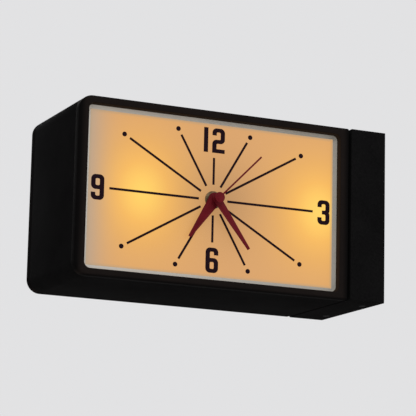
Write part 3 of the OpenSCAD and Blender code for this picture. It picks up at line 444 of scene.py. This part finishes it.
# Turned brass: fine rings round the hands' axis, tarnished in patches
def turnedBrassFinish(name, look):
    finish, tree, shader = newFinish(name)
    rings = addNode(tree, "ShaderNodeTexWave", {"Scale": 1 / look["ring"], "Distortion": 1.5, "Detail": 2.0},
                    wave_type="RINGS", rings_direction="Y")
    tree.links.new(pieceSpace(tree, (1, 1, 1), (middleX, 0, 0)), rings.inputs["Vector"])
    stain = speckle(tree, look["stain"], 4.0)
    tone = noiseTone(tree, stain, look["dark"], look["light"])
    tree.links.new(tone, shader.inputs["Base Color"])
    tree.links.new(levels(tree, stain, *look["rough"]), shader.inputs["Roughness"])
    relief(tree, shader, rings.outputs["Fac"], look["depth"], 0.6)
    shader.inputs["Metallic"].default_value = 1.0
    return finish


finishes["nut_brass"] = turnedBrassFinish("dullBrass", {
    "dark": (0.070, 0.045, 0.025), "light": (0.150, 0.105, 0.060), "ring": 1.2 * mm, "stain": 3 * mm,
    "rough": (0.52, 0.38), "depth": 0.02 * mm,
})
finishes["pipe_brass"] = turnedBrassFinish("turnedBrass", {
    "dark": (0.46, 0.35, 0.15), "light": (0.60, 0.47, 0.22), "ring": 0.8 * mm, "stain": 4 * mm,
    "rough": (0.36, 0.24), "depth": 0.01 * mm,
})


# Zinc-plated sheet: spangles of slightly different grey
def zincFinish(look):
    finish, tree, shader = newFinish("zincPlatedSheet")
    spangle = addNode(tree, "ShaderNodeTexVoronoi", {"Scale": 1 / look["spangle"], "Randomness": 1.0})
    tree.links.new(pieceSpace(tree), spangle.inputs["Vector"])
    grey = addNode(tree, "ShaderNodeSeparateColor")
    tree.links.new(spangle.outputs["Color"], grey.inputs[0])
    tone = toneRamp(tree, grey.outputs[0], (0.0, look["dark"]), (1.0, look["light"]))
    tree.links.new(tone, shader.inputs["Base Color"])
    tree.links.new(levels(tree, grey.outputs[1], *look["rough"], 0.0, 1.0), shader.inputs["Roughness"])
    relief(tree, shader, speckle(tree, look["grain"]), look["depth"])
    shader.inputs["Metallic"].default_value = 1.0
    return finish


finishes["plate_steel"] = zincFinish({
    "spangle": 7 * mm, "dark": (0.40, 0.41, 0.43), "light": (0.54, 0.55, 0.57), "rough": (0.34, 0.50),
    "grain": 0.7 * mm, "depth": 0.015 * mm,
})


# Enamelled copper wire wound side by side along X
def windingFinish(look):
    finish, tree, shader = newFinish("copperWinding")
    turns = addNode(tree, "ShaderNodeTexWave", {"Scale": 0.5 / look["wire"] / math.pi, "Distortion": 0.3},
                    wave_type="BANDS", bands_direction="X", wave_profile="SIN")
    tree.links.new(pieceSpace(tree), turns.inputs["Vector"])
    tone = toneRamp(tree, turns.outputs["Fac"], (0.0, look["groove"]), (0.6, look["wireTone"]))
    tree.links.new(tone, shader.inputs["Base Color"])
    relief(tree, shader, turns.outputs["Fac"], look["wire"] / 2)
    tree.links.new(levels(tree, speckle(tree, look["stain"]), *look["rough"]), shader.inputs["Roughness"])
    shader.inputs["Metallic"].default_value = look["metal"]
    return finish


finishes["coil_copper"] = windingFinish({
    "wire": 0.25 * mm, "groove": (0.10, 0.03, 0.01), "wireTone": (0.52, 0.21, 0.08), "stain": 2 * mm,
    "rough": (0.25, 0.36), "metal": 0.9,
})


# Battery: a dark sleeve with a coloured band at the pole, bare metal ends
def batteryFinish(look):
    finish, tree, shader = newFinish("batteryWrap")
    parts = addNode(tree, "ShaderNodeSeparateXYZ")
    tree.links.new(pieceSpace(tree, (1, 1, 1), (middleX, 0, 0)), parts.inputs[0])
    side = addNode(tree, "ShaderNodeMath", operation="SIGN")  # the two faces' batteries lie opposite ways
    tree.links.new(parts.outputs["Y"], side.inputs[0])
    fromPole = addNode(tree, "ShaderNodeMath", operation="MULTIPLY")
    tree.links.new(parts.outputs["X"], fromPole.inputs[0])
    tree.links.new(side.outputs[0], fromPole.inputs[1])
    sleeveFrom = look["bandEnd"] - look["length"] / 2
    bareFrom = look["length"] / 2 - look["bare"]
    wrap = levels(tree, fromPole.outputs[0], 0.0, 1.0, sleeveFrom, sleeveFrom + look["bandBlend"])
    tone = toneRamp(tree, wrap, (0.0, look["band"]), (1.0, look["sleeve"]))
    distance = addNode(tree, "ShaderNodeMath", operation="ABSOLUTE")
    tree.links.new(parts.outputs["X"], distance.inputs[0])
    bare = levels(tree, distance.outputs[0], 0.0, 1.0, bareFrom, bareFrom + look["bareBlend"])
    tree.links.new(blendTone(tree, bare, tone, look["metal"]), shader.inputs["Base Color"])
    tree.links.new(bare, shader.inputs["Metallic"])
    tree.links.new(levels(tree, speckle(tree, look["stain"]), *look["rough"]), shader.inputs["Roughness"])
    relief(tree, shader, speckle(tree, look["grain"]), look["depth"])
    return finish


finishes["battery_can"] = batteryFinish({
    "length": 49 * mm, "bandEnd": 15 * mm, "bandBlend": 0.3 * mm, "bare": 0.15 * mm, "bareBlend": 0.1 * mm,
    "sleeve": (0.020, 0.055, 0.034), "band": (0.40, 0.26, 0.09), "metal": (0.60, 0.60, 0.58),
    "stain": 3 * mm, "rough": (0.28, 0.42), "grain": 0.4 * mm, "depth": 0.01 * mm,
})


# Frosted bulb that glows evenly all over
def bulbFinish(look):
    finish, tree, shader = newFinish("frostedBulb")
    frost = speckle(tree, look["frost"])
    tone = noiseTone(tree, frost, look["cool"], look["warm"])
    tree.links.new(tone, shader.inputs["Base Color"])
    tree.links.new(tone, shader.inputs["Emission Color"])
    shader.inputs["Emission Strength"].default_value = look["glow"]
    tree.links.new(levels(tree, frost, *look["rough"]), shader.inputs["Roughness"])
    return finish


finishes["bulb_glass"] = bulbFinish({
    "frost": 1.5 * mm, "cool": (0.92, 0.72, 0.42), "warm": (1.0, 0.80, 0.48), "glow": 0.8, "rough": (0.35, 0.45),
})


def paleFloorFinish(look):
    finish, tree, shader = newFinish("paleFloor")
    pale = Vector(look["floorTone"])
    tone = noiseTone(tree, speckle(tree, look["floorCloud"]), pale * look["floorDim"], pale)
    tree.links.new(tone, shader.inputs["Base Color"])
    shader.inputs["Roughness"].default_value = look["floorRough"]
    shader.inputs["Specular IOR Level"].default_value = look["floorShine"]
    return finish


bpy.ops.mesh.primitive_plane_add(size=studio["floorSize"], location=(middleX, 0, -studio["floorDrop"]))
floor = bpy.context.object
floor.name = "studioFloor"
floor.data.materials.append(paleFloorFinish(studio))
print("finishes ready:", len(finishes))


# Dress the CAD nodes in the record's own slots
for part in frame["record"]["subparts"]:
    nodes[part["node"]].material_slots[0].material = finishes[part["material_slot"]]
print("nodes dressed")


# Modelling helpers

slack = 0.01 * mm  # when a vertex or face is picked by its place
mergeBelow = 0.002 * mm
flatBelow = math.radians(0.5)
smoothBelow = math.radians(30)
bevelAbove = math.radians(40)
through = 4  # cutters are this many times longer than the wall is thick


def useOnly(piece):
    bpy.ops.object.select_all(action="DESELECT")
    piece.select_set(True)
    bpy.context.view_layer.objects.active = piece


def startPiece(name):
    piece = bpy.context.object
    piece.name = name
    piece.data.name = name
    return piece


def editMode():
    bpy.ops.object.mode_set(mode="EDIT")


def objectMode():
    bpy.ops.object.mode_set(mode="OBJECT")


# Selects the vertices, edges or faces whose middle passes a test
def pick(kind, test):
    bpy.ops.mesh.select_mode(type={"verts": "VERT", "edges": "EDGE", "faces": "FACE"}[kind])
    bpy.ops.mesh.select_all(action="DESELECT")
    mesh = bmesh.from_edit_mesh(bpy.context.object.data)
    for item in getattr(mesh, kind):
        corners = [item] if kind == "verts" else item.verts
        middle = sum((c.co for c in corners), Vector()) / len(corners)
        item.select_set(bool(test(middle)))
    mesh.select_flush_mode()
    bmesh.update_edit_mesh(bpy.context.object.data)


def carve(piece, tool, operation="DIFFERENCE"):
    change = piece.modifiers.new("carve", "BOOLEAN")
    change.operation = operation
    change.solver = "EXACT"
    change.object = tool
    useOnly(piece)
    bpy.ops.object.modifier_apply(modifier=change.name)
    bpy.data.objects.remove(tool)


def smooth(piece):
    useOnly(piece)
    bpy.ops.object.shade_smooth_by_angle(angle=smoothBelow)


# Joins the flat bits a boolean leaves, then rounds the edges
def soften(piece, width, segments=2):
    useOnly(piece)
    editMode()
    bpy.ops.mesh.select_all(action="SELECT")
    bpy.ops.mesh.remove_doubles(threshold=mergeBelow)
    bpy.ops.mesh.dissolve_limited(angle_limit=flatBelow)
    objectMode()
    edge = piece.modifiers.new("edge", "BEVEL")
    edge.width = width
    edge.segments = segments
    edge.limit_method = "ANGLE"
    edge.angle_limit = bevelAbove
    bpy.ops.object.modifier_apply(modifier=edge.name)
    smooth(piece)


# Moves a piece's place, turn and size into its mesh
def settle(piece):
    useOnly(piece)
    bpy.ops.object.transform_apply(location=True, rotation=True, scale=True)


def turnOutwards():
    editMode()
    bpy.ops.mesh.select_all(action="SELECT")
    bpy.ops.mesh.normals_make_consistent(inside=False)
    objectMode()


# The rear face's own copy: turned about the case, or mirrored where the wall end differs
def rearCopy(piece, name, mirrored):
    useOnly(piece)
    bpy.ops.object.duplicate()
    copy = startPiece(name)
    if mirrored:
        bpy.ops.transform.resize(value=(1, -1, 1), center_override=(middleX, 0, 0))
    else:
        bpy.ops.transform.rotate(value=math.pi, orient_axis="Z", center_override=(middleX, 0, 0))
    settle(copy)
    if mirrored:
        turnOutwards()
    return copy


# Dresses a finished piece and puts it on its body, in place of its node
def fit(piece, body, slot, node):
    piece.data.materials.clear()
    piece.data.materials.append(finishes[slot])
    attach(piece, body)
    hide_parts(node)


# The same piece on both faces: the front one as modelled, and its copy
def fitBothFaces(piece, name, part, slot, node, mirrored=False):
    rear = rearCopy(piece, "rear" + name, mirrored)
    for side, one in (("front", piece), ("rear", rear)):
        fit(one, f"{side}_{part}", slot, f"{side}_{node}")


# A free copy of a CAD solid's mesh, without its stored normals
def copyOfSolid(node, name):
    piece = bpy.data.objects.new(name, nodes[node].data.copy())
    bpy.context.scene.collection.objects.link(piece)
    piece.data.name = name
    useOnly(piece)
    bpy.ops.mesh.customdata_custom_splitnormals_clear()
    return piece


# A CAD solid with its edges rounded
def roundedSolid(node, name, body, slot, width):
    piece = copyOfSolid(node, name)
    soften(piece, width)
    fit(piece, body, slot, node)


def boxAt(place, size):
    bpy.ops.mesh.primitive_cube_add(size=1, location=place)
    box = bpy.context.object
    editMode()
    bpy.ops.transform.resize(value=size, center_override=place)
    objectMode()
    settle(box)
    return box


def rodAlong(axis, place, radius, length, vertices=48):
    turn = {"x": (0, math.pi / 2, 0), "y": (math.pi / 2, 0, 0)}[axis]
    bpy.ops.mesh.primitive_cylinder_add(vertices=vertices, radius=radius, depth=length,
                                        location=place, rotation=turn)
    return bpy.context.object


# A turned piece along X: a disc drawn out ring by ring to each length and radius
def turnedAlongX(name, start, rings, vertices=48):
    bpy.ops.object.select_all(action="DESELECT")
    bpy.ops.mesh.primitive_circle_add(vertices=vertices, radius=rings[0][1], fill_type="NGON",
                                      location=start, rotation=(0, math.pi / 2, 0))
    piece = startPiece(name)
    settle(piece)
    editMode()
    bpy.ops.mesh.select_all(action="SELECT")
    for (before, thin), (after, wide) in zip(rings, rings[1:]):
        bpy.ops.mesh.extrude_region_move(TRANSFORM_OT_translate={"value": (after - before, 0, 0)})
        bpy.ops.transform.resize(value=(1, wide / thin, wide / thin),
                                 center_override=(start.x + after - rings[0][0], start.y, start.z))
    objectMode()
    turnOutwards()
    return piece


# Hexagon nut along an axis, its corners cut back at the end that shows
def hexNut(name, axis, middle, shows, look):
    rodAlong(axis, middle, look["nut"], look["nutThick"], 6)
    nut = startPiece(name)
    nut.data.transform(Matrix.Rotation(math.pi / 6, 4, "Z"))
    settle(nut)
    rounder = rodAlong(axis, middle, look["nut"] * 1.01, look["nutThick"], 64)  # just clears the corners
    settle(rounder)
    editMode()
    end = middle.dot(shows) + look["nutThick"] / 2
    pick("faces", lambda p: p.dot(shows) > end - slack)
    bpy.ops.mesh.bevel(offset=look["chamfer"], segments=1)
    objectMode()
    carve(nut, rounder, "INTERSECT")
    carve(nut, rodAlong(axis, middle, look["bore"], through * look["nutThick"]))
    soften(nut, look["edge"])
    return nut


# One outline in edit mode, kept as a vertex group: its corners differ at the free and the wall end
def addOutline(name, width, height, freeCorner, wallCorner, y, steps):
    bpy.ops.mesh.select_all(action="DESELECT")
    place = (middleX, y, 0)
    bpy.ops.mesh.primitive_plane_add(size=1, location=place, rotation=(math.pi / 2, 0, 0))
    bpy.ops.transform.resize(value=(width, 1, height), center_override=place)
    for side, corner in ((-1, freeCorner), (1, wallCorner)):
        tip = Vector((middleX + side * width / 2, y, height / 2))
        pick("verts", lambda p: (Vector((p.x, p.y, abs(p.z))) - tip).length < slack)
        bpy.ops.mesh.bevel(offset=corner, segments=steps, affect="VERTICES", clamp_overlap=False)
    bpy.ops.mesh.select_linked()
    bpy.ops.object.vertex_group_assign_new()
    bpy.context.object.vertex_groups[-1].name = name
    bpy.ops.mesh.delete(type="ONLY_FACE")


# Skins a closed ring of outlines, each bridged to the next and the last to the first
def bridgedRing(name, outlines, steps):
    bpy.ops.object.select_all(action="DESELECT")
    bpy.ops.mesh.primitive_plane_add(size=1)
    piece = startPiece(name)
    editMode()
    bpy.ops.mesh.delete(type="VERT")
    bpy.ops.mesh.select_mode(type="VERT")
    for i, outline in enumerate(outlines):
        addOutline(f"loop{i}", *outline, steps)
    for i in range(len(outlines)):
        bpy.ops.mesh.select_all(action="DESELECT")
        for group in (f"loop{i}", f"loop{(i + 1) % len(outlines)}"):
            bpy.ops.object.vertex_group_set_active(group=group)
            bpy.ops.object.vertex_group_select()
        bpy.ops.mesh.bridge_edge_loops()
    objectMode()
    turnOutwards()
    piece.vertex_groups.clear()
    settle(piece)
    return piece


# The case's outline, drawn in by an inset: round at the free end, nearly square at the wall
caseOutline = {
    "freeCorner": 16 * mm,
    "wallCorner": 2 * mm,
    "leastCorner": 0.4 * mm,
    "steps": 18,
}


def outlineIn(inset):
    corners = [max(caseOutline[end] - inset, caseOutline["leastCorner"]) for end in ("freeCorner", "wallCorner")]
    return (caseWidth - 2 * inset, caseHeight - 2 * inset, *corners)


# Steps round a quarter turn, as shares of the radius across and along
def quarterRound(steps):
    turns = [math.pi / 2 * i / steps for i in range(steps + 1)]
    return [(1 - math.cos(t), 1 - math.sin(t)) for t in turns]


# Holes for the stem and the cable's sleeve, in the case's wall end and the block
passages = {
    "stem": (15.1 * mm, 0.0),  # radius and height
    "sleeve": (7.1 * mm, -60 * mm),
}


def carvePassages(piece, x, sheet):
    for radius, up in passages.values():
        carve(piece, rodAlong("x", (x, 0, up), radius, through * sheet))


# Case tube, open at both faces

caseTube = {
    "wall": 2 * mm,
    "draft": 0.05 * mm,  # the cut ends slope in by this much
    "edge": 0.45 * mm,
    "edgeSteps": 3,
}


def makeCaseTube(look):
    edge = [(look["edge"] * across, look["edge"] * along) for across, along in quarterRound(look["edgeSteps"])]
    inner = outlineIn(look["wall"])
    tube = bridgedRing("caseTube", [
        *[(*outlineIn(across), shellHigh.y - along) for across, along in edge],
        (*inner, shellHigh.y - look["draft"]), (*inner, shellLow.y + look["draft"]),
        *[(*outlineIn(across), shellLow.y + along) for across, along in reversed(edge)],
    ], caseOutline["steps"])
    carvePassages(tube, shellHigh.x, look["wall"])
    smooth(tube)
    fit(tube, "case", "case_black", "case_shell")


makeCaseTube(caseTube)
print("case tube made")


# Bezels: flat rim with a rounded edge, deep window, skirt inside the case

bezelFrame = {
    "sink": 10.4 * mm,  # from the rim's front back to the dial
    "rim": 12 * mm,
    "round": 3 * mm,
    "roundSteps": 6,
    "sideRail": 12.2 * mm,
    "topRail": 9 * mm,
    "windowCorner": 6 * mm,
    "windowDraft": 1 * mm,  # the window opens out by this much towards the front
    "brow": 0.6 * mm,
    "browSteps": 3,
    "lipBack": 2.5 * mm,
    "lip": 0.8 * mm,
    "skirtIn": 2.1 * mm,
    "skirtWall": 2 * mm,
    "skirt": 12 * mm,
    "backEdge": 0.3 * mm,
    "backSteps": 2,
    "draft": 0.05 * mm,
}


def makeBezel(look):
    def rim(inset, out):
        return (*outlineIn(inset), dialFace - out)

    def skirt(inset, out):
        corner = caseOutline["freeCorner"] - inset
        return (caseWidth - 2 * inset, caseHeight - 2 * inset, corner, corner, dialFace - out)

    def window(grow, out):
        corner = look["windowCorner"] + grow
        return (caseWidth - 2 * (look["sideRail"] - grow), caseHeight - 2 * (look["topRail"] - grow),
                corner, corner, dialFace - out)

    front = look["sink"]
    seam = front - look["rim"]
    pocketIn = look["skirtIn"] + look["skirtWall"]
    loops = [
        skirt(pocketIn, seam - look["skirt"] + look["draft"]),
        skirt(pocketIn, look["lipBack"] + look["draft"]),
        window(0, look["lipBack"]),
        window(0, look["lipBack"] + look["lip"]),
    ]
    for across, along in quarterRound(look["browSteps"]):
        loops.append(window(look["windowDraft"] + look["brow"] * across,
                            front - look["draft"] - look["brow"] * along))
    for along, across in quarterRound(look["roundSteps"]):
        loops.append(rim(look["round"] * across, front - look["round"] * along))
    for across, along in quarterRound(look["backSteps"]):
        loops.append(rim(look["backEdge"] * across, seam + look["backEdge"] * along))
    loops += [
        skirt(look["skirtIn"], seam + look["draft"]),
        skirt(look["skirtIn"], seam - look["skirt"]),
    ]
    bezel = bridgedRing("frontBezel", loops, caseOutline["steps"])
    smooth(bezel)
    fitBothFaces(bezel, "Bezel", "face", "bezel_black", "bezel", mirrored=True)


makeBezel(bezelFrame)
print("bezels made")


# Wall block: folded cover with slightly rounded edges, open towards the wall

wallCover = {
    "sheet": 2 * mm,
    "round": 0.9 * mm,
    "roundSteps": 4,
    "screwX": -11 * mm,
    "screwApart": 90 * mm,
    "screwHead": 4.1 * mm,
    "screwShank": 2.1 * mm,
}


def makeWallCover(look):
    boxAt((blockHigh + blockLow) / 2, blockHigh - blockLow)
    cover = startPiece("wallCover")
    openEnd = blockHigh.x - slack
    editMode()
    pick("edges", lambda p: p.x < openEnd)
    bpy.ops.mesh.bevel(offset=look["round"], segments=look["roundSteps"])
    pick("faces", lambda p: p.x > openEnd)
    bpy.ops.mesh.delete(type="FACE")
    objectMode()
    wall = cover.modifiers.new("sheet", "SOLIDIFY")
    wall.thickness = look["sheet"]
    wall.offset = -1
    bpy.ops.object.modifier_apply(modifier=wall.name)
    carvePassages(cover, blockLow.x, look["sheet"])
    for side in (-1, 1):
        for level, turn in ((blockHigh.z, 0), (blockLow.z, math.pi)):
            inSheet = level - math.copysign(look["sheet"] / 2, level)
            bpy.ops.mesh.primitive_cone_add(
                vertices=32, radius1=look["screwShank"], radius2=look["screwHead"],
                depth=look["sheet"] + 2 * slack, rotation=(turn, 0, 0),
                location=(look["screwX"], side * look["screwApart"] / 2, inSheet))
            carve(cover, bpy.context.object)
    smooth(cover)
    fit(cover, "case", "case_black", "wall_block")


makeWallCover(wallCover)
print("wall cover made")


# Hands: tapered blades with a hub and a raised collet, turned to the time shown

hands = {
    "hour": {"out": 4.6 * mm, "length": 54 * mm, "root": 14.5 * mm, "tip": 3.3 * mm, "hub": 7.6 * mm,
             "collet": 3.8 * mm, "bore": 2.53 * mm, "clock": 213.5},
    "minute": {"out": 10.1 * mm, "length": 67.4 * mm, "root": 9.8 * mm, "tip": 3.3 * mm, "hub": 5 * mm,
               "collet": 2.9 * mm, "bore": 1.63 * mm, "clock": 143.1},
    "sheet": 0.8 * mm,
    "colletUp": 1.0 * mm,
    "edge": 0.14 * mm,
}


def facePlace(out, up=0.0):
    return Vector((middleX, dialFace - out, up))


# Turns a finished piece clockwise about the hands' axis
def turnTo(piece, hub, clock):
    settle(piece)
    piece.data.transform(Matrix.Translation(hub) @ Matrix.Rotation(math.radians(clock), 4, "Y")
                         @ Matrix.Translation(-hub))


def makeHand(name, look, sheet, colletUp, edge):
    flat = look["out"] + sheet / 2
    hub = facePlace(flat)
    rodAlong("y", hub, look["hub"], sheet, 64)
    hand = startPiece(f"front{name.capitalize()}Hand")
    settle(hand)
    blade = boxAt(facePlace(flat, look["length"] / 2), (look["root"], sheet, look["length"]))
    editMode()
    pick("verts", lambda p: p.z > look["length"] - slack)
    bpy.ops.transform.resize(value=(look["tip"] / look["root"], 1, 1), center_override=hub)
    objectMode()
    carve(hand, blade, "UNION")
    carve(hand, rodAlong("y", facePlace(flat + colletUp / 2), look["collet"], sheet + colletUp), "UNION")
    carve(hand, rodAlong("y", hub, look["bore"], through * (sheet + colletUp), 32))
    turnTo(hand, hub, look["clock"])
    soften(hand, edge)
    fitBothFaces(hand, f"{name.capitalize()}Hand", name, "hand_red", f"{name}_hand")


for handName in ("hour", "minute"):
    makeHand(handName, hands[handName], hands["sheet"], hands["colletUp"], hands["edge"])
print("hour and minute hands made")


# Second hand: thin needle on a round cap with a tube behind it

secondHand = {
    "out": 18.2 * mm,
    "sheet": 0.8 * mm,
    "length": 71.9 * mm,
    "needle": 1.9 * mm,
    "needleSheet": 0.6 * mm,
    "cap": 5.9 * mm,
    "tube": 3.3 * mm,
    "tubeLength": 5 * mm,
    "bore": 0.53 * mm,
    "clock": 44.4,
    "edge": 0.18 * mm,
}


def makeSecondHand(look):
    flat = look["out"] + look["sheet"] / 2
    hub = facePlace(flat)
    rodAlong("y", hub, look["cap"], look["sheet"], 64)
    hand = startPiece("frontSecondHand")
    settle(hand)
    soften(hand, look["edge"])
    needle = boxAt(facePlace(flat, look["length"] / 2), (look["needle"], look["needleSheet"], look["length"]))
    soften(needle, look["edge"] / 2)
    carve(hand, needle, "UNION")
    tubeMiddle = look["out"] - look["tubeLength"] / 2
    sunk = look["sheet"] / 2  # the tube goes this far into the cap
    carve(hand, rodAlong("y", facePlace(tubeMiddle + sunk / 2), look["tube"], look["tubeLength"] + sunk), "UNION")
    carve(hand, rodAlong("y", facePlace(tubeMiddle), look["bore"], look["tubeLength"], 24))
    turnTo(hand, hub, look["clock"])
    smooth(hand)
    fitBothFaces(hand, "SecondHand", "second", "hand_red", "second_hand")


makeSecondHand(secondHand)
print("second hands made")


# Washer and chamfered hexagon nut that hold the movement to the dial

dialFixing = {
    "washer": 10 * mm,
    "washerThick": 1 * mm,
    "nut": 7.6 * mm,
    "nutThick": 2.5 * mm,
    "bore": 4.1 * mm,
    "chamfer": 0.9 * mm,
    "edge": 0.15 * mm,
}


def makeDialFixing(look):
    rodAlong("y", facePlace(look["washerThick"] / 2), look["washer"], look["washerThick"], 64)
    washer = startPiece("frontWasher")
    settle(washer)
    carve(washer, rodAlong("y", facePlace(0), look["bore"], through * look["washerThick"]))
    soften(washer, look["edge"])
    fitBothFaces(washer, "Washer", "face", "nut_brass", "dial_washer")
    middle = facePlace(look["washerThick"] + look["nutThick"] / 2)
    nut = hexNut("frontNut", "y", middle, Vector((0, -1, 0)), look)
    fitBothFaces(nut, "Nut", "face", "nut_brass", "dial_nut")


makeDialFixing(dialFixing)
print("washers and nuts made")


# Lamps: frosted round bulb drawn down to a neck over the screw cap

lamps = {
    "left": "lamp_left_bulb",
    "right": "lamp_right_bulb",
    "bulb": 22 * mm,
    "neck": 10 * mm,
    "cap": 6.9 * mm,
    "capLength": 28 * mm,
    "edge": 0.8 * mm,
    "edgeSteps": 3,
}


def makeLamp(name, node, look):
    low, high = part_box(node)
    centre = Vector(((low.x + high.x) / 2, (low.y + high.y) / 2, high.z - look["bulb"]))
    neckEnd = low.z + look["capLength"]
    bpy.ops.mesh.primitive_uv_sphere_add(segments=48, ring_count=32, radius=look["bulb"], location=centre)
    bulb = startPiece(name)
    settle(bulb)
    editMode()
    join = centre.z - math.sqrt(look["bulb"] ** 2 - look["neck"] ** 2)
    bpy.ops.mesh.select_all(action="SELECT")
    bpy.ops.mesh.bisect(plane_co=(0, 0, join), plane_no=(0, 0, 1), clear_inner=True)
    pick("verts", lambda p: p.z < join + slack)
    bpy.ops.mesh.extrude_region_move(TRANSFORM_OT_translate={"value": (0, 0, neckEnd - join)})
    bpy.ops.mesh.extrude_region_move()
    narrow = look["cap"] / look["neck"]
    bpy.ops.transform.resize(value=(narrow, narrow, 1), center_override=(centre.x, centre.y, neckEnd))
    bpy.ops.mesh.extrude_region_move(TRANSFORM_OT_translate={"value": (0, 0, low.z - neckEnd)})
    bpy.ops.mesh.edge_face_add()
    objectMode()
    turnOutwards()
    soften(bulb, look["edge"], look["edgeSteps"])
    fit(bulb, "case", "bulb_glass", node)


for side in ("left", "right"):
    makeLamp(side + "Bulb", lamps[side], lamps)
print("lamps made")


# Batteries: spun cans with the sleeve rolled over both ends and a raised pole

cell = {
    # length along the can and radius, in mm, from the flat end to the pole
    "rings": ((0.0, 4.4), (0.15, 4.7), (0.4, 4.9), (0.4, 6.2), (0.15, 6.4), (0.1, 6.7), (0.3, 7.0), (0.7, 7.15),
              (48.3, 7.15), (48.7, 7.0), (48.9, 6.7), (48.85, 6.4), (48.6, 6.2), (48.6, 3.1), (48.9, 2.8),
              (49.75, 2.7), (50.0, 2.4)),
}


def makeBattery(look):
    low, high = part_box("front_battery")
    start = Vector((low.x, (low.y + high.y) / 2, (low.z + high.z) / 2))
    can = turnedAlongX("frontBattery", start, [(along * mm, radius * mm) for along, radius in look["rings"]])
    smooth(can)
    fitBothFaces(can, "Battery", "face", "battery_can", "battery")


makeBattery(cell)
print("batteries made")


# Movement lids: bearing bosses, a ring round the setting knob and finger ribs

movementLid = {
    "sunk": 0.3 * mm,  # raised work goes this far into the lid
    "arbor": (0.0, 0.6 * mm),  # place aside and bore
    "knob": (10 * mm, 1.1 * mm),
    "third": (-9.18 * mm, 0.7 * mm),
    "ring": 9.4 * mm,
    "ringWall": 1.2 * mm,
    "ringUp": 0.8 * mm,
    "boss": 2.4 * mm,
    "bossUp": 0.5 * mm,
    "ribs": 6,
    "ribAside": -10 * mm,
    "ribStep": 2.2 * mm,
    "ribTop": 23 * mm,
    "rib": (15 * mm, 0.9 * mm),
    "ribUp": 0.5 * mm,
    "edge": 0.18 * mm,
}


def makeMovementLid(look):
    low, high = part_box("front_movement_cover")
    middle = (low + high) / 2
    boxAt(middle, high - low)
    lid = startPiece("frontMovementLid")

    def raised(pivot, radius, height):
        place = (middleX + look[pivot][0], high.y + (height - look["sunk"]) / 2, 0)
        return rodAlong("y", place, radius, height + look["sunk"])

    ring = raised("knob", look["ring"], look["ringUp"])
    carve(ring, raised("knob", look["ring"] - look["ringWall"], through * look["ringUp"]))
    carve(lid, ring, "UNION")
    for pivot in ("arbor", "third"):
        carve(lid, raised(pivot, look["boss"], look["bossUp"]), "UNION")
    for i in range(look["ribs"]):
        place = (middleX + look["ribAside"], high.y + (look["ribUp"] - look["sunk"]) / 2,
                 look["ribTop"] - i * look["ribStep"])
        length, width = look["rib"]
        carve(lid, boxAt(place, (length, look["ribUp"] + look["sunk"], width)), "UNION")
    for pivot in ("arbor", "knob", "third"):
        aside, bore = look[pivot]
        carve(lid, rodAlong("y", (middleX + aside, middle.y, 0), bore, 2 * through * (high.y - low.y), 24))
    soften(lid, look["edge"])
    fitBothFaces(lid, "MovementLid", "face", "movement_black", "movement_cover")


makeMovementLid(movementLid)
print("movement lids made")


# Printing on the dials: the ink of the round dots spreads a little

dialPrint = {
    "dotSpread": 1.16,
    "dotLimit": 6 * mm,  # dots are smaller than this both ways
}


def makeDialPrint(side, look):
    node = f"{side}_dial_markings"
    ink = copyOfSolid(node, side + "DialPrint")
    editMode()
    bpy.ops.mesh.select_all(action="SELECT")
    bpy.ops.mesh.remove_doubles(threshold=mergeBelow)
    bpy.ops.mesh.separate(type="LOOSE")
    objectMode()
    marks = list(bpy.context.selected_objects)
    for mark in marks:
        if max(mark.dimensions.x, mark.dimensions.z) < look["dotLimit"]:
            useOnly(mark)
            bpy.ops.object.origin_set(type="ORIGIN_GEOMETRY", center="BOUNDS")
            bpy.ops.transform.resize(value=(look["dotSpread"], 1, look["dotSpread"]))
            settle(mark)
    useOnly(ink)
    for mark in marks:
        mark.select_set(True)
    bpy.ops.object.join()
    smooth(ink)
    fit(ink, f"{side}_face", "print_black", node)
    print("dial printed:", side, len(marks), "marks")


for side in ("front", "rear"):
    makeDialPrint(side, dialPrint)


# Solids whose shape is right, with their edges rounded

rounded = {
    "lampHolderLeft": ("lamp_holder_left", "case", "holder_white", 0.5 * mm),
    "lampHolderRight": ("lamp_holder_right", "case", "holder_white", 0.5 * mm),
    "lampRail": ("lamp_rail", "case", "rail_white", 0.3 * mm),
    "terminalBlock": ("terminal_block", "case", "holder_white", 0.4 * mm),
    "frontMovementCase": ("front_movement_case", "front_face", "movement_black", 0.35 * mm),
    "rearMovementCase": ("rear_movement_case", "rear_face", "movement_black", 0.35 * mm),
    "frontSetKnob": ("front_set_knob", "front_motion", "gear_plastic", 0.25 * mm),
    "rearSetKnob": ("rear_set_knob", "rear_motion", "gear_plastic", 0.25 * mm),
    "stemWasher": ("stem_washer", "case", "plate_steel", 0.3 * mm),
}
for pieceName, (node, body, slot, edge) in rounded.items():
    roundedSolid(node, pieceName, body, slot, edge)
print("edges rounded:", len(rounded))


# Nut that clamps the case to the stem

stemNut = {
    "nut": 24 * mm,
    "nutThick": 8 * mm,
    "bore": 15.1 * mm,
    "chamfer": 2.4 * mm,
    "edge": 0.3 * mm,
}
nutLow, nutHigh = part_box("stem_nut")
clamp = hexNut("stemNut", "x", (nutLow + nutHigh) / 2, Vector((-1, 0, 0)), stemNut)
fit(clamp, "case", "plate_steel", "stem_nut")
print("stem nut made")
